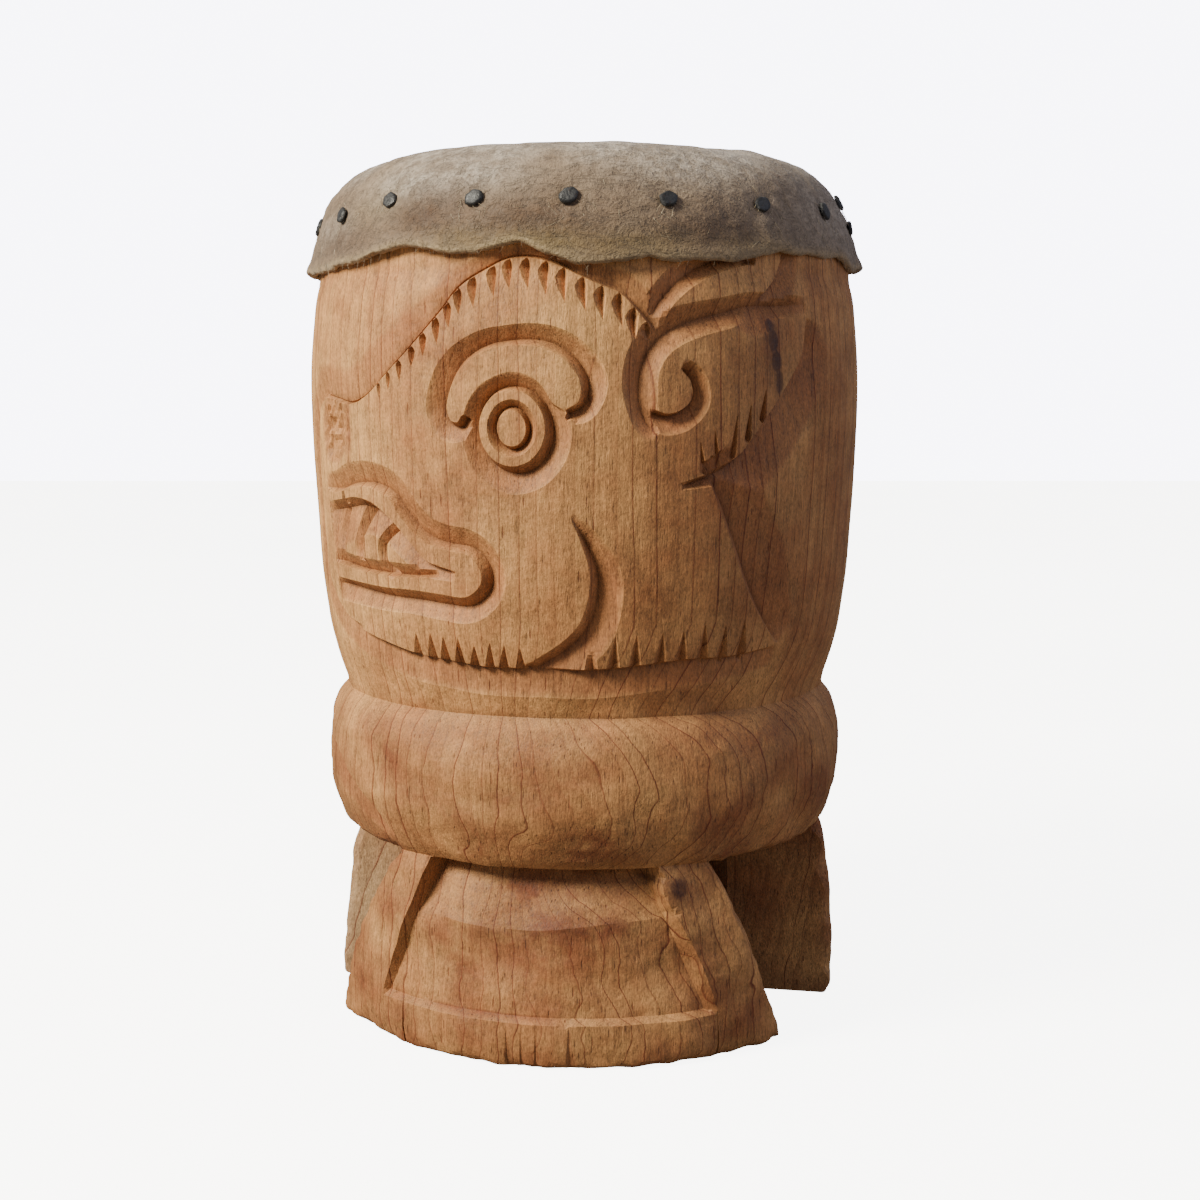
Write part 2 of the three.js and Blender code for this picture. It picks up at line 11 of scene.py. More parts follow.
import bpy
import numpy as np
from bpy.types import Material, Mesh, Node, NodeSocket, NodeTree, Object
from mathutils.geometry import delaunay_2d_cdt
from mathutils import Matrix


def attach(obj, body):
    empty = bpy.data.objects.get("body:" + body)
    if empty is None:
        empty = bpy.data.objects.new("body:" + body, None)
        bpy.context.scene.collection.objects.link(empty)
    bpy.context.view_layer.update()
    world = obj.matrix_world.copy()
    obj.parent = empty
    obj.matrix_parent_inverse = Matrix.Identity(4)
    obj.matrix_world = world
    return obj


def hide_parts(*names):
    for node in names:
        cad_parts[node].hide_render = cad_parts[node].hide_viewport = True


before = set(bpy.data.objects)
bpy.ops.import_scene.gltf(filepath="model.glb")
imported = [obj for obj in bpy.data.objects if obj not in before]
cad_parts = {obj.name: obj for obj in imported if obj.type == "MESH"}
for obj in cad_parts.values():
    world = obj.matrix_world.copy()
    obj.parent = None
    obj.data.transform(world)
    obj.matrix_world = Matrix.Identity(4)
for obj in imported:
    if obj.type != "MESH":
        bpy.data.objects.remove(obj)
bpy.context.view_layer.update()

log = logging.getLogger("drum")

MM = 0.001
ARC_RADIUS = 150.0
TURN = 2 * np.pi * ARC_RADIUS
EDGE_RADIUS = 148.0     # about how far out the hide's edge lies
NAIL_RADIUS = 145.0     # about how far out the nails stand
TOP_POINTS = 240        # points round the crest of the mouth
RINGS_ROUND = 98        # growth rings met on the way round
BATCH = 6000            # points measured against a line at once
CORNER_ROWS = (0.10, 0.28, 0.55, 0.95)      # rows of points in a rounded corner, in shares of its radius

Array = np.ndarray
Pair = tuple[float, float]
Triple = tuple[float, float, float]
Line = tuple[Pair, ...]
Steps = tuple[float, ...]
Colour = tuple[float, float, float, float]
Patches = tuple[tuple[float, float, float, float, float], ...]
Values = dict[str | int, object]


class Slot(Enum):
    """The record's material slots."""

    WOOD = "wood"
    HIDE = "hide"
    NAIL = "nail"


# ---- curves and noise ----


def on_log(arc: Array, radius: Array, height: Array) -> Array:
    """Points x, y, z from arc, radius and height, with the arc wrapped round the log's axis."""
    turn = np.asarray(arc) / ARC_RADIUS
    return np.stack(np.broadcast_arrays(radius * np.sin(turn), -radius * np.cos(turn), height), axis=-1)


def smooth_through(x: Array, knots: Array, values: Array) -> Array:
    """A curve through knots in cubic pieces, each knot's slope being that of the chord past it.

    Args:
        x: where the curve is wanted.
        knots: rising places of the knots.
        values: the curve's values there.

    Returns:
        The curve's values at x, held flat past the ends.
    """
    slopes = np.gradient(values, knots)
    i = np.clip(np.searchsorted(knots, x, side="right") - 1, 0, len(knots) - 2)
    width = knots[i + 1] - knots[i]
    t = np.clip((x - knots[i]) / width, 0, 1)
    return ((1 + 2 * t) * (1 - t) ** 2 * values[i] + t * (1 - t) ** 2 * width * slopes[i]
            + t * t * (3 - 2 * t) * values[i + 1] + t * t * (t - 1) * width * slopes[i + 1])


def eased(x: Array, low: float, high: float) -> Array:
    """0 below low, 1 above high, and an S-shaped rise between."""
    t = np.clip((x - low) / (high - low), 0, 1)
    return t * t * (3 - 2 * t)


def spot(arc: Array, height: Array, centre: Pair, size: Pair) -> Array:
    """A soft spot on the log: a bell curve of the distance from its centre, measured in its two sizes."""
    return np.exp(-((arc - centre[0]) / size[0]) ** 2 - ((height - centre[1]) / size[1]) ** 2)


def wrapped(value: Array, turn: float) -> Array:
    """A value brought within half a turn of nought."""
    return (value + turn / 2) % turn - turn / 2


def patched(patches: Patches, arc: Array, height: Array) -> Array:
    """The strongest of some soft spots at each point, round the log as well.

    Args:
        patches: for each spot its arc, height, half width, half height and strength.
        arc: arcs of the points.
        height: their heights.

    Returns:
        Strengths, from 0.
    """
    strongest = np.zeros(arc.shape)
    for x, z, wide, tall, strength in patches:
        one = spot(wrapped(arc - x, TURN), height, (0, z), (wide, tall))
        strongest = np.maximum(strongest, strength * one)
    return strongest


def ripple(points: Array, size: float, seed: int, stretch: float = 1.0, waves: int = 14) -> Array:
    """Smooth irregular waves through space: a sum of cosines in seeded random directions.

    Args:
        points: x, y, z in millimetres, in the last dimension.
        size: the waves' mean length.
        seed: picks the directions and phases.
        stretch: how many times longer the waves are upright than across.
        waves: how many cosines are added.

    Returns:
        Values of about -1 to 1.
    """
    rng = np.random.default_rng(seed)
    ways = rng.normal(size=(waves, 3))
    ways *= (2 * np.pi / size / rng.uniform(0.6, 1.7, waves) / np.linalg.norm(ways, axis=1))[:, None]
    ways[:, 2] /= stretch
    phases = rng.uniform(0, 2 * np.pi, waves)
    total = np.zeros(points.shape[:-1])
    for way, phase in zip(ways, phases):
        total += np.cos(points @ way + phase)
    return total * np.sqrt(2 / waves) * 0.6


def level_line(left: float, right: float, height: float, count: int) -> Array:
    """Evenly spaced points along one height."""
    return np.stack([np.linspace(left, right, count), np.full(count, height)], axis=1)


def lengths_along(line: Array) -> Array:
    """The length run along a line at each of its points."""
    return np.concatenate([[0.0], np.cumsum(np.linalg.norm(np.diff(line, axis=0), axis=1))])


def respaced(line: Array, count: int) -> Array:
    """A number of points spread evenly over a line, its ends among them."""
    length = lengths_along(line)
    at = np.linspace(0, length[-1], count)
    return np.stack([np.interp(at, length, line[:, 0]), np.interp(at, length, line[:, 1])], axis=1)


def drawn(points: Line, step: float, closed: bool = False) -> Array:
    """A smooth line through a few points, as evenly spaced points about a step apart.

    The line is cubic between points, over a parameter that grows by the root of each chord.

    Args:
        points: (arc, height) pairs.
        step: the wanted spacing.
        closed: whether the last point runs on to the first.

    Returns:
        The line's points, without the first again on a closed line.
    """
    p = np.array(points, float)
    if closed:
        p = np.concatenate([p[-3:], p, p[:4]])
    t = np.concatenate([[0.0], np.cumsum(np.sqrt(np.linalg.norm(np.diff(p, axis=0), axis=1)))])
    first, last = (t[3], t[len(points) + 3]) if closed else (t[0], t[-1])
    fine = np.linspace(first, last, 40 * len(points))
    curve = np.stack([smooth_through(fine, t, p[:, 0]), smooth_through(fine, t, p[:, 1])], axis=1)
    even = respaced(curve, max(2, int(round(lengths_along(curve)[-1] / step))) + 1)
    return even[:-1] if closed else even


def oval(centre: Pair, width: float, height: float) -> Line:
    """Twelve points of an oval, clockwise as seen from outside."""
    turn = -np.arange(12) * 2 * np.pi / 12
    x = centre[0] + width / 2 * np.cos(turn)
    y = centre[1] + height / 2 * np.sin(turn)
    return tuple(zip(x.tolist(), y.tolist()))


def left_normals(line: Array, closed: bool) -> Array:
    """Unit normals at a line's points, each pointing to the left of the walk along it."""
    if closed:
        along = np.roll(line, -1, axis=0) - np.roll(line, 1, axis=0)
    else:
        along = np.gradient(line, axis=0)
    along /= np.linalg.norm(along, axis=1)[:, None]
    return np.stack([-along[:, 1], along[:, 0]], axis=1)


def inside_outline(arc: Array, height: Array, outline: Array) -> Array:
    """Whether points lie inside a closed outline, by counting the sides that a ray to the right crosses."""
    inside = np.zeros(arc.shape, bool)
    for (x0, y0), (x1, y1) in zip(outline, np.roll(outline, -1, axis=0)):
        if y0 == y1:
            continue
        crosses = (y0 > height) != (y1 > height)
        inside ^= crosses & (arc < x0 + (height - y0) * (x1 - x0) / (y1 - y0))
    return inside


def from_sides(points: Array, start: Array, sides: Array) -> tuple[Array, Array]:
    """The share of each side of a line at which points stand square to it, and their steps from it there."""
    away = points[:, None, :] - start[None]
    share = (away * sides).sum(axis=2) / (sides ** 2).sum(axis=1)
    return share, away - np.clip(share, 0, 1)[..., None] * sides


# ---- carving ----


@dataclass(frozen=True)
class Cut:
    """A chisel cut along a line: a steep wall down from the line, then a slope back up to the surface.

    The wood is lowered on the left of the walk along the line. Lean, reach and depth may each be
    several values, spread evenly from the line's start to its end. A cut starts an inset to the right
    of its points. A sunk one adds to the depth of the cuts before it, a capped one does not spread
    past the ends of its line, and none of them touches the raised pieces that it names as spared.
    """

    points: Line
    depth: Steps = (5.0,)
    lean: Steps = (1.5,)
    reach: Steps = (9.0,)
    closed: bool = False
    fade: Pair = (6.0, 6.0)
    step: float = 1.4
    hollow: float = 1.0
    inset: float = 0.0
    sunk: bool = False
    capped: bool = False
    spared: tuple[str, ...] = ()

    def line(self) -> Array:
        """The line as evenly spaced points."""
        line = drawn(self.points, self.step, self.closed)
        return line - self.inset * left_normals(line, self.closed)

    def along(self, values: Steps, share: Array) -> Array:
        """Values spread over the line, read at shares of its length."""
        return np.interp(share, np.linspace(0, 1, len(values)), values)

    def creases(self) -> list[Array]:
        """The lines that the mesh follows: the top and foot of the wall, and the slope's outer edge.

        Each is the cut's own line moved along its left normals. Points that end up nearer to the line
        than they were moved, as inside a tight bend, are left out, which may break it in two.
        """
        line = self.line()
        normals = left_normals(line, self.closed)
        share = np.linspace(0, 1, len(line))
        lean = self.along(self.lean, share)[:, None]
        reach = self.along(self.reach, share)[:, None]
        runs = []
        for offset in (0 * lean, lean, lean + reach):
            moved = line + normals * offset
            gaps = np.linalg.norm(moved[:, None, :] - line[None, :, :], axis=2).min(axis=1)
            good = gaps >= 0.96 * offset[:, 0] - 1e-6
            if self.closed:
                moved = np.concatenate([moved, moved[:1]])
                good = np.concatenate([good, good[:1]])
            runs += [run for run in split_runs(moved, good) if len(run) > 2]
        return runs

    def depth_at(self, arc: Array, height: Array) -> Array:
        """How far this cut lowers the wood, and the painted shade at the foot of its wall.

        With s the distance to the line on its left side, the depth grows evenly from 0 to full over
        the lean, falls back to 0 over the reach, and runs out towards the line's ends.

        Args:
            arc: arcs of the points.
            height: their heights.

        Returns:
            A row of depths and a row of shares of painted shade, 0 where the cut does not reach.
        """
        line = self.line()
        span = max(self.lean) + max(self.reach) + 2
        low, high = line.min(axis=0) - span, line.max(axis=0) + span
        near = (arc > low[0]) & (arc < high[0]) & (height > low[1]) & (height < high[1])
        found = np.zeros((2,) + arc.shape)
        if near.any():
            found[:, near] = self._near_depth(line, np.stack([arc[near], height[near]], axis=1))
        return found

    def _near_depth(self, line: Array, points: Array) -> Array:
        """The depth at points close enough to matter, in batches that fit in memory.

        Args:
            line: the cut's line.
            points: the points, as arcs and heights.

        Returns:
            A row of depths and a row of painted shade.
        """
        normals = left_normals(line, self.closed)
        start, n0 = line, normals
        sides, n1 = np.roll(line, -1, axis=0) - line, np.roll(normals, -1, axis=0)
        if not self.closed:
            start, sides, n0, n1 = start[:-1], sides[:-1], n0[:-1], n1[:-1]
        lengths = np.linalg.norm(sides, axis=1)
        passed = np.concatenate([[0.0], np.cumsum(lengths)])
        depth = np.zeros((2, len(points)))
        for first in range(0, len(points), BATCH):
            raw, gap = from_sides(points[first:first + BATCH], start, sides)
            best = (gap ** 2).sum(axis=2).argmin(axis=1)
            row = np.arange(len(gap))
            raw, gap = raw[row, best], gap[row, best]
            t = np.clip(raw, 0, 1)
            past = self.capped & (np.abs(raw - t) > 0.4) & ((best == 0) | (best == len(sides) - 1))
            normal = n0[best] * (1 - t)[:, None] + n1[best] * t[:, None]
            s = np.linalg.norm(gap, axis=1) * np.sign((gap * normal).sum(axis=1))
            run = passed[best] + t * lengths[best]
            depth[:, first:first + BATCH] = self._profile(s, run, passed[-1]) * ~past
        return depth

    def _profile(self, s: Array, run: Array, length: float) -> Array:
        """The depth across the cut.

        Args:
            s: distances from its line, more than nought on its left.
            run: lengths along the line.
            length: the line's whole length.

        Returns:
            A row of depths and a row of painted shade, which darkens the foot of the wall.
        """
        share = run / length
        lean, reach = self.along(self.lean, share), self.along(self.reach, share)
        slope = np.clip(1 - (s - lean) / reach, 0, 1)
        across = np.where(s < lean, np.clip(s / lean, 0, 1), slope ** self.hollow)
        full = self.along(self.depth, share)
        for fade, from_end in zip(self.fade, (run, length - run)):
            if fade and not self.closed:
                full = full * np.clip(from_end / fade, 0, 1) ** 0.7
        # painted shade: darkest at the foot of the wall, where the crease lies in shade
        dirt = np.where(s > 0, np.exp(-((s - lean) / 1.1) ** 2) * np.clip(full / 5, 0, 1), 0)
        return np.stack([full * across, dirt])


def split_runs(points: Array, good: Array) -> list[Array]:
    """The unbroken runs of good points along a line."""
    edges = np.flatnonzero(np.diff(np.concatenate([[0], good.astype(int), [0]])))
    return [points[a:b] for a, b in zip(edges[::2], edges[1::2])]


@dataclass(frozen=True)
class Gouge:
    """A short V-shaped gouge from a base to a tip.

    A share of its width lies to the left of its valley, as seen on the walk to the tip. A leaf is
    pointed at both ends, and any other gouge is widest and deepest at its base.
    """

    base: Pair
    tip: Pair
    width: float
    depth: float
    leaf: bool = False
    left_share: float = 0.3

    def frame(self) -> tuple[Array, Array, float]:
        """Its direction, the direction to its right, and its length."""
        along = np.array(self.tip, float) - np.array(self.base, float)
        length = float(np.linalg.norm(along))
        along /= length
        return along, np.array([along[1], -along[0]]), length

    def spread(self, t: Array) -> Array:
        """Share of its full width and depth at shares of its length."""
        if self.leaf:
            return np.interp(t, (0, 0.1, 0.28, 0.6, 1), (0, 0.6, 1, 0.72, 0))
        return np.where(t < 0, 1.0, np.clip(1 - t, 0, 1) ** 0.85)

    def depth_at(self, arc: Array, height: Array) -> Array:
        """How far it lowers the wood, a V across scaled by its spread along, and painted shade in its valley.
        """
        along, right, length = self.frame()
        x, y = arc - self.base[0], height - self.base[1]
        t = (x * along[0] + y * along[1]) / length
        side = x * right[0] + y * right[1]
        spread = self.spread(t)
        half = np.where(side < 0, self.left_share, 1 - self.left_share) * self.width * spread + 1e-6
        live = (t > -0.12) & (t < 1)
        vee = np.where(live, spread * np.clip(1 - np.abs(side) / half, 0, 1), 0.0)
        # the second row is painted shade, darkest along the valley
        return np.stack([self.depth * vee, vee ** 3 * min(self.depth / 10, 1)])

    def creases(self) -> list[Array]:
        """Its valley and its two rims, for the mesh to follow."""
        along, right, length = self.frame()
        t = np.linspace(-0.1 if not self.leaf else 0.02, 0.98, max(5, int(length / 1.3)))
        spine = np.array(self.base) + along * (t * length)[:, None]
        spread = (self.spread(t) * self.width)[:, None]
        left_rim = spine - right * spread * self.left_share
        return [spine, left_rim, left_rim + right * spread]


@dataclass
class FootPanel:
    """The sunk panel of the front foot: sloping sides, a ledge below, and a scoop above a ridge."""

    left_out: Line = ((-132.5, 16.0), (-128.0, 22.0), (-96.0, 100.0))
    left_in: Line = ((-125.0, 24.0), (-121.5, 30.0), (-93.0, 100.0))
    right_out: Line = ((79.0, 16.0), (77.0, 22.0), (63.0, 56.0), (44.0, 88.0), (43.0, 100.0))
    right_in: Line = ((69.0, 24.0), (67.0, 30.0), (53.0, 60.0), (39.0, 90.0), (37.0, 100.0))
    ridge: Line = ((-86.0, 71.0), (-73.0, 70.0), (-35.0, 69.0), (8.0, 73.0), (46.0, 75.0))
    ledge_low: float = 23.5
    ledge_high: float = 26.5
    top: float = 101.0
    depth: float = 6.0
    scoop: float = 7.0

    @staticmethod
    def arc_at(line: Line, height: Array) -> Array:
        """The arc of a rising line at heights."""
        arcs, heights = np.array(line).T
        return np.interp(height, heights, arcs)

    def creases(self) -> list[Array]:
        """Its edges, for the mesh to follow."""
        ledges, sides = [], []
        for low, edges in ((self.ledge_low, (self.left_out, self.right_out)),
                           (self.ledge_high, (self.left_in, self.right_in))):
            ends = [float(self.arc_at(edge, np.array(low))) for edge in edges]
            ledges.append(level_line(*ends, low, 110))
        for line, low in ((self.left_out, self.ledge_low), (self.left_in, self.ledge_high),
                          (self.right_out, self.ledge_low), (self.right_in, self.ledge_high)):
            heights = np.linspace(low, self.top - 0.6, 50)
            sides.append(np.stack([self.arc_at(line, heights), heights], axis=1))
        return ledges + sides + [drawn(self.ridge, 2.0)]

    def depth_at(self, arc: Array, height: Array) -> Array:
        """How far the panel lowers the wood.

        The share of full depth is the least of the shares crossed of the left side, the right side
        and the ledge. Above the ridge the full depth grows towards the top.

        Args:
            arc: arcs of the points.
            height: their heights.

        Returns:
            Depths, 0 outside the panel.
        """
        chips = ripple(on_log(arc, 140.0, height), 8.0, 17)
        left = self.arc_at(self.left_out, height)
        right = self.arc_at(self.right_out, height) + 0.6 * chips
        left_wide = self.arc_at(self.left_in, height) - left
        right_wide = right - self.arc_at(self.right_in, height)
        share = np.minimum((arc - left) / left_wide, (right - arc) / right_wide)
        rise = (height - self.ledge_low + 0.5 * chips) / (self.ledge_high - self.ledge_low)
        share = np.minimum(share, rise)
        ridge = np.interp(arc, *np.array(self.ridge).T)
        above = np.clip((height - ridge) / (self.top - ridge), 0, 1)
        full = self.depth * (0.55 + 0.45 * eased(height, 27, 50)) + self.scoop * above ** 0.75
        return np.where(height < self.top, full * np.clip(share, 0, 1), 0.0)


@dataclass
class HeadCarving:
    """The animal's head in profile: every cut, gouge and dressed hollow of it.

    Outlines are listed clockwise as seen from outside, so that what is lowered lies outside them.
    """

    eye: Pair = (-35.0, 319.0)
    eye_ring: Pair = (34.0, 37.5)
    pupil: Pair = (14.0, 17.0)
    snout: Line = ((-140, 217), (-158, 222), (-172, 236), (-178, 262), (-180, 300), (-176, 326), (-166, 334))
    crown: Line = (
        (-168, 334), (-153, 332), (-136, 330), (-120, 335), (-107, 344), (-94, 354), (-83, 364), (-72, 375),
        (-62, 386), (-50, 393), (-38, 398), (-27, 398.5), (-15, 396), (-4, 391), (7, 386), (17, 382),
        (26, 373), (33, 365), (37, 360),
    )
    jaw: Line = (
        (113, 209.5), (80, 206.5), (55, 206.5), (20, 203.5), (-1, 202.5), (-21, 203), (-55, 203), (-75, 205),
        (-97, 207), (-115, 210), (-137, 214), (-156, 220),
    )
    nape: Line = ((58, 301), (61, 296), (67, 283), (75, 265), (83, 247), (94, 230), (113, 209.5))
    brow_outside: Line = (
        (-59.5, 324), (-62, 320.8), (-66.5, 321.5), (-69.4, 328), (-67, 338), (-60, 349), (-47, 357),
        (-32, 359), (-18, 357), (-7, 350), (-1, 341), (-2, 331), (-8, 327),
    )
    brow_inside: Line = (
        (-8, 327), (-15, 331), (-18, 336), (-21, 340), (-27, 344), (-35, 345.5), (-42, 344), (-51, 339),
        (-57, 331), (-59.5, 324),
    )
    lips_outside: Line = (
        (-168, 286), (-154, 286), (-140, 289), (-121, 289.5), (-107, 285), (-100, 277.5), (-91, 269),
        (-83, 264), (-73, 261), (-60, 259), (-54, 255), (-51, 249), (-52, 243), (-58, 237.5), (-63, 236),
        (-76, 237), (-92, 238), (-116, 238), (-138, 239), (-162, 240),
    )
    upper_lip: Line = (
        (-66, 249.5), (-85, 255), (-92, 261.5), (-101, 269.5), (-110, 276), (-121, 281.5), (-135, 283.5),
        (-149, 282), (-166, 280),
    )
    lower_lip: Line = ((-162, 248.5), (-140, 246), (-115, 245), (-91, 245), (-75, 246.5))
    fang: Line = ((-131, 251), (-129.5, 261), (-126, 270), (-121, 278))
    front_tooth: Line = ((-148, 250), (-150, 262), (-147, 277))
    gum: Line = ((-104, 247), (-108.6, 251), (-110.6, 256), (-109.6, 261.5), (-106.6, 265.5), (-103, 268.5))
    cheek: Line = (
        (-7, 277), (-3.5, 269), (-0.5, 261), (2, 253), (2.6, 245), (1, 235), (-3, 225), (-12, 216),
        (-27, 206.5),
    )
    ear: Line = (
        (40, 319), (36, 326), (35, 336), (36, 346), (40, 353), (47, 358), (57, 362), (72, 366), (87, 370),
        (104, 371.5), (126, 374.5),
    )
    ear_under: Line = (
        (125, 373), (120, 354), (112, 343), (102, 332), (94, 323), (87, 315), (77, 305), (63, 298),
        (47, 293),
    )
    curl: Line = ((46, 347), (51.5, 341), (52, 333), (47, 328), (40, 326), (32, 328.5))
    hind_ear: Line = ((38.5, 366.5), (41, 374), (47.6, 381), (58, 388), (70.6, 393), (82, 396))
    hind_tip: Line = ((109, 400), (105, 393), (96, 385), (87, 377))
    leaves: int = 19

    def cuts(self) -> list[Cut]:
        """Every line cut of the head."""
        ring = oval(self.eye, *self.eye_ring)
        return [
            Cut(self.snout, depth=(2.2, 3.4, 3.0), lean=(2.0,), reach=(12.0,), fade=(8, 0)),
            Cut(self.crown, depth=(1.6, 2.0, 2.0, 2.0, 1.8, 2.2, 3.4, 4.2), lean=(1.9,),
                reach=(16, 18, 18, 12, 6, 6, 9, 10), fade=(0, 8)),
            Cut(self.crown, depth=(2.8, 3.4, 3.4, 3.2, 3.0, 3.2, 3.4), lean=(1.2,), reach=(2.2,),
                fade=(4, 30)),
            Cut(self.jaw, depth=(1.6, 3.0, 3.8, 4.0, 4.2, 3.4, 2.4), lean=(1.2,),
                reach=(10, 13, 14, 14, 14, 12), hollow=0.9, fade=(10, 10)),
            Cut(self.nape, depth=(3.4, 4.6, 4.8, 4.2, 2.6), lean=(2.0, 4.0, 5.0, 4.0, 2.0),
                reach=(16, 24, 28, 26, 14), fade=(0, 8), capped=True),
            Cut(ring, depth=(5.2,), lean=(4.0, 4.6, 4.4, 3.6, 2.4, 1.6, 1.6, 1.8, 1.8, 1.8, 2.4, 3.2, 4.0),
                reach=(9, 9, 9.5, 10, 9, 8, 7.5, 6.6, 6.0, 6.0, 6.0, 7, 9), inset=0.8, closed=True, step=1.2,
                spared=("brow",)),
            Cut(oval(self.eye, *self.pupil), depth=(4.2,), lean=(1.6,), reach=(3.6,), closed=True, step=1.0),
            Cut(self.brow_outside, depth=(5.4,), lean=(2.0, 3.2, 3.2, 3.0, 2.6, 3.4, 4.6, 4.4, 2.4),
                reach=(7, 8.5, 9, 7.5, 7, 7.5, 8, 9, 6), inset=1.2, fade=(0, 0), spared=("eye",),
                capped=True),
            Cut(self.brow_inside, depth=(0.4,), lean=(0.9,), reach=(1.2,), fade=(3, 3), spared=("eye",)),
            Cut(self.lips_outside, depth=(3.4, 4.8, 5.4, 5.4, 5.4, 5.2, 4.6),
                lean=(2.2, 2.4, 2.6, 2.8, 3.4, 4.8, 5.4, 5.0, 4.2, 3.4), inset=1.0,
                reach=(8, 10.5, 11.5, 10, 8.5, 8, 7, 8, 9), fade=(8, 8)),
            Cut(self.upper_lip, depth=(2.6, 4.4, 4.8, 4.8, 4.4), lean=(1.4, 1.6, 2.0, 3.6, 4.6, 4.6),
                reach=(4, 8, 12, 18, 22), fade=(4, 6)),
            Cut(self.lower_lip, depth=(4.2,), lean=(1.4,), reach=(7.0, 6.0, 6.0, 5.0), fade=(6, 6)),
            Cut(self.fang, depth=(6.0, 7.6, 7.0), lean=(2.0,), reach=(5, 7, 7.6), fade=(7, 2), step=1.2,
                sunk=True),
            Cut(self.front_tooth, depth=(3.4, 4.4, 3.6), lean=(1.6,), reach=(5, 6, 5), fade=(7, 3), step=1.2,
                sunk=True),
            Cut(self.gum, depth=(5.0, 6.2, 5.2), lean=(1.8,), reach=(4.0, 5.2, 4.4), fade=(6, 2), step=1.2,
                sunk=True),
            Cut(self.cheek, depth=(2.0, 4.4, 5.6, 5.6, 5.2, 4.6), lean=(0.6, 2.6, 4.8, 5.2, 4.8, 4.0),
                reach=(3, 8, 11.5, 13, 14, 13, 10), fade=(12, 0)),
            Cut(self.ear, depth=(4.4, 5.4, 5.4, 5.0, 4.6, 4.4, 3.6), lean=(6, 8.5, 8.5, 8.5, 8, 7.5, 7, 6, 5),
                reach=(6, 9, 10, 8, 7, 6, 4), fade=(8, 12)),
            Cut(self.ear_under, depth=(3.0, 4.6, 5.4, 5.6, 5.6, 5.4, 4.6, 3.0), lean=(2.2,),
                reach=(10, 18, 22, 24, 24, 22, 5, 1.5), fade=(12, 4)),
            Cut(self.curl, depth=(5.4,), lean=(1.5,), reach=(5, 7, 8.5, 9, 9, 7), fade=(3, 3), step=1.1),
            Cut(self.hind_ear, depth=(4.2,), lean=(6.0,), reach=(7, 8, 7, 5), fade=(5, 0)),
            Cut(self.hind_tip, depth=(3.6,), lean=(1.6,), reach=(13.0,), fade=(0, 0)),
        ]

    def islands(self) -> dict[str, Array]:
        """Raised pieces that some cuts spare, as closed outlines."""
        eye = Cut(oval(self.eye, *self.eye_ring), closed=True, step=1.2, inset=0.5).line()
        brow = [Cut(self.brow_outside, inset=0.9).line(), Cut(self.brow_inside, inset=-0.3).line()]
        return {"eye": eye, "brow": np.concatenate(brow)}

    def gouges(self) -> list[Gouge]:
        """The hair cuts along the crown, the jaw, the nape and under the ear."""
        rng = np.random.default_rng(7)
        cuts = []
        crown = drawn(self.crown, 1.0)
        lengths = np.linspace(0, 1, len(crown))
        for i in range(self.leaves):
            share = 0.225 + 0.75 * (i + 0.5) / self.leaves + rng.uniform(-0.004, 0.004)
            x, y = (float(np.interp(share, lengths, crown[:, k])) for k in (0, 1))
            tall, wide = (float(np.interp(x, (-118, -90, -55, 30), sizes))
                          for sizes in ((7, 11, 15, 17), (2.8, 4.2, 5.8, 6.8)))
            steep, left = (float(np.interp(x, (-90, -40), ends)) for ends in ((0.75, 0.56), (0.6, 0.28)))
            tip = (x + 0.8 + rng.uniform(-0.6, 0.6), y + 0.6 - tall - rng.uniform(-1, 1))
            cuts.append(Gouge((x, y + 0.6), tip, wide, wide * steep, leaf=True, left_share=left))
        for left, right, count, rise, width in ((-94, -33, 8, 11, 6.5), (3, 88, 8, 16.5, 7.5)):
            for x in np.linspace(left, right, count) + rng.uniform(-1, 1, count):
                base = float(np.interp(-x, -np.array(self.jaw)[:, 0], np.array(self.jaw)[:, 1]))
                tip = (x + rng.uniform(-0.4, 0.8), base + rise + rng.uniform(-1.5, 1.5))
                cuts.append(Gouge((x + 0.4, base - 0.5), tip, width, 3.4, left_share=0.6))
        for base, tip in (((59.5, 298.5), (57, 313)), ((67, 302), (64.5, 319)), ((75.5, 307), (77, 326)),
                          ((84, 315), (85, 331)), ((93, 324), (94.5, 338))):
            cuts.append(Gouge(base, tip, 4.4, 3.0, left_share=0.65))
        cuts.append(Gouge((-146, 278), (-148, 290), 4.0, 3.4, leaf=True, left_share=0.6))
        return cuts

    def nose_depth(self, arc: Array, height: Array) -> Array:
        """The rough dressed end of the nose: a shallow hollow with two pits and a torn strip beside it."""
        points = on_log(arc, ARC_RADIUS, height)
        rough = 0.5 + 0.5 * ripple(points, 5, 31)
        block = eased(spot(arc, height, (-156, 318), (15, 17)), 0.25, 0.6)
        pits = spot(arc, height, (-165, 319), (2.4, 4)) + spot(arc, height, (-163.5, 306), (2.4, 3))
        strip = spot(arc, height, (-140, 317), (2.4, 15))
        return block * (0.8 + 1.8 * rough) + 3.2 * pits + strip * (1.0 + 1.2 * rough)


# ---- the log ----


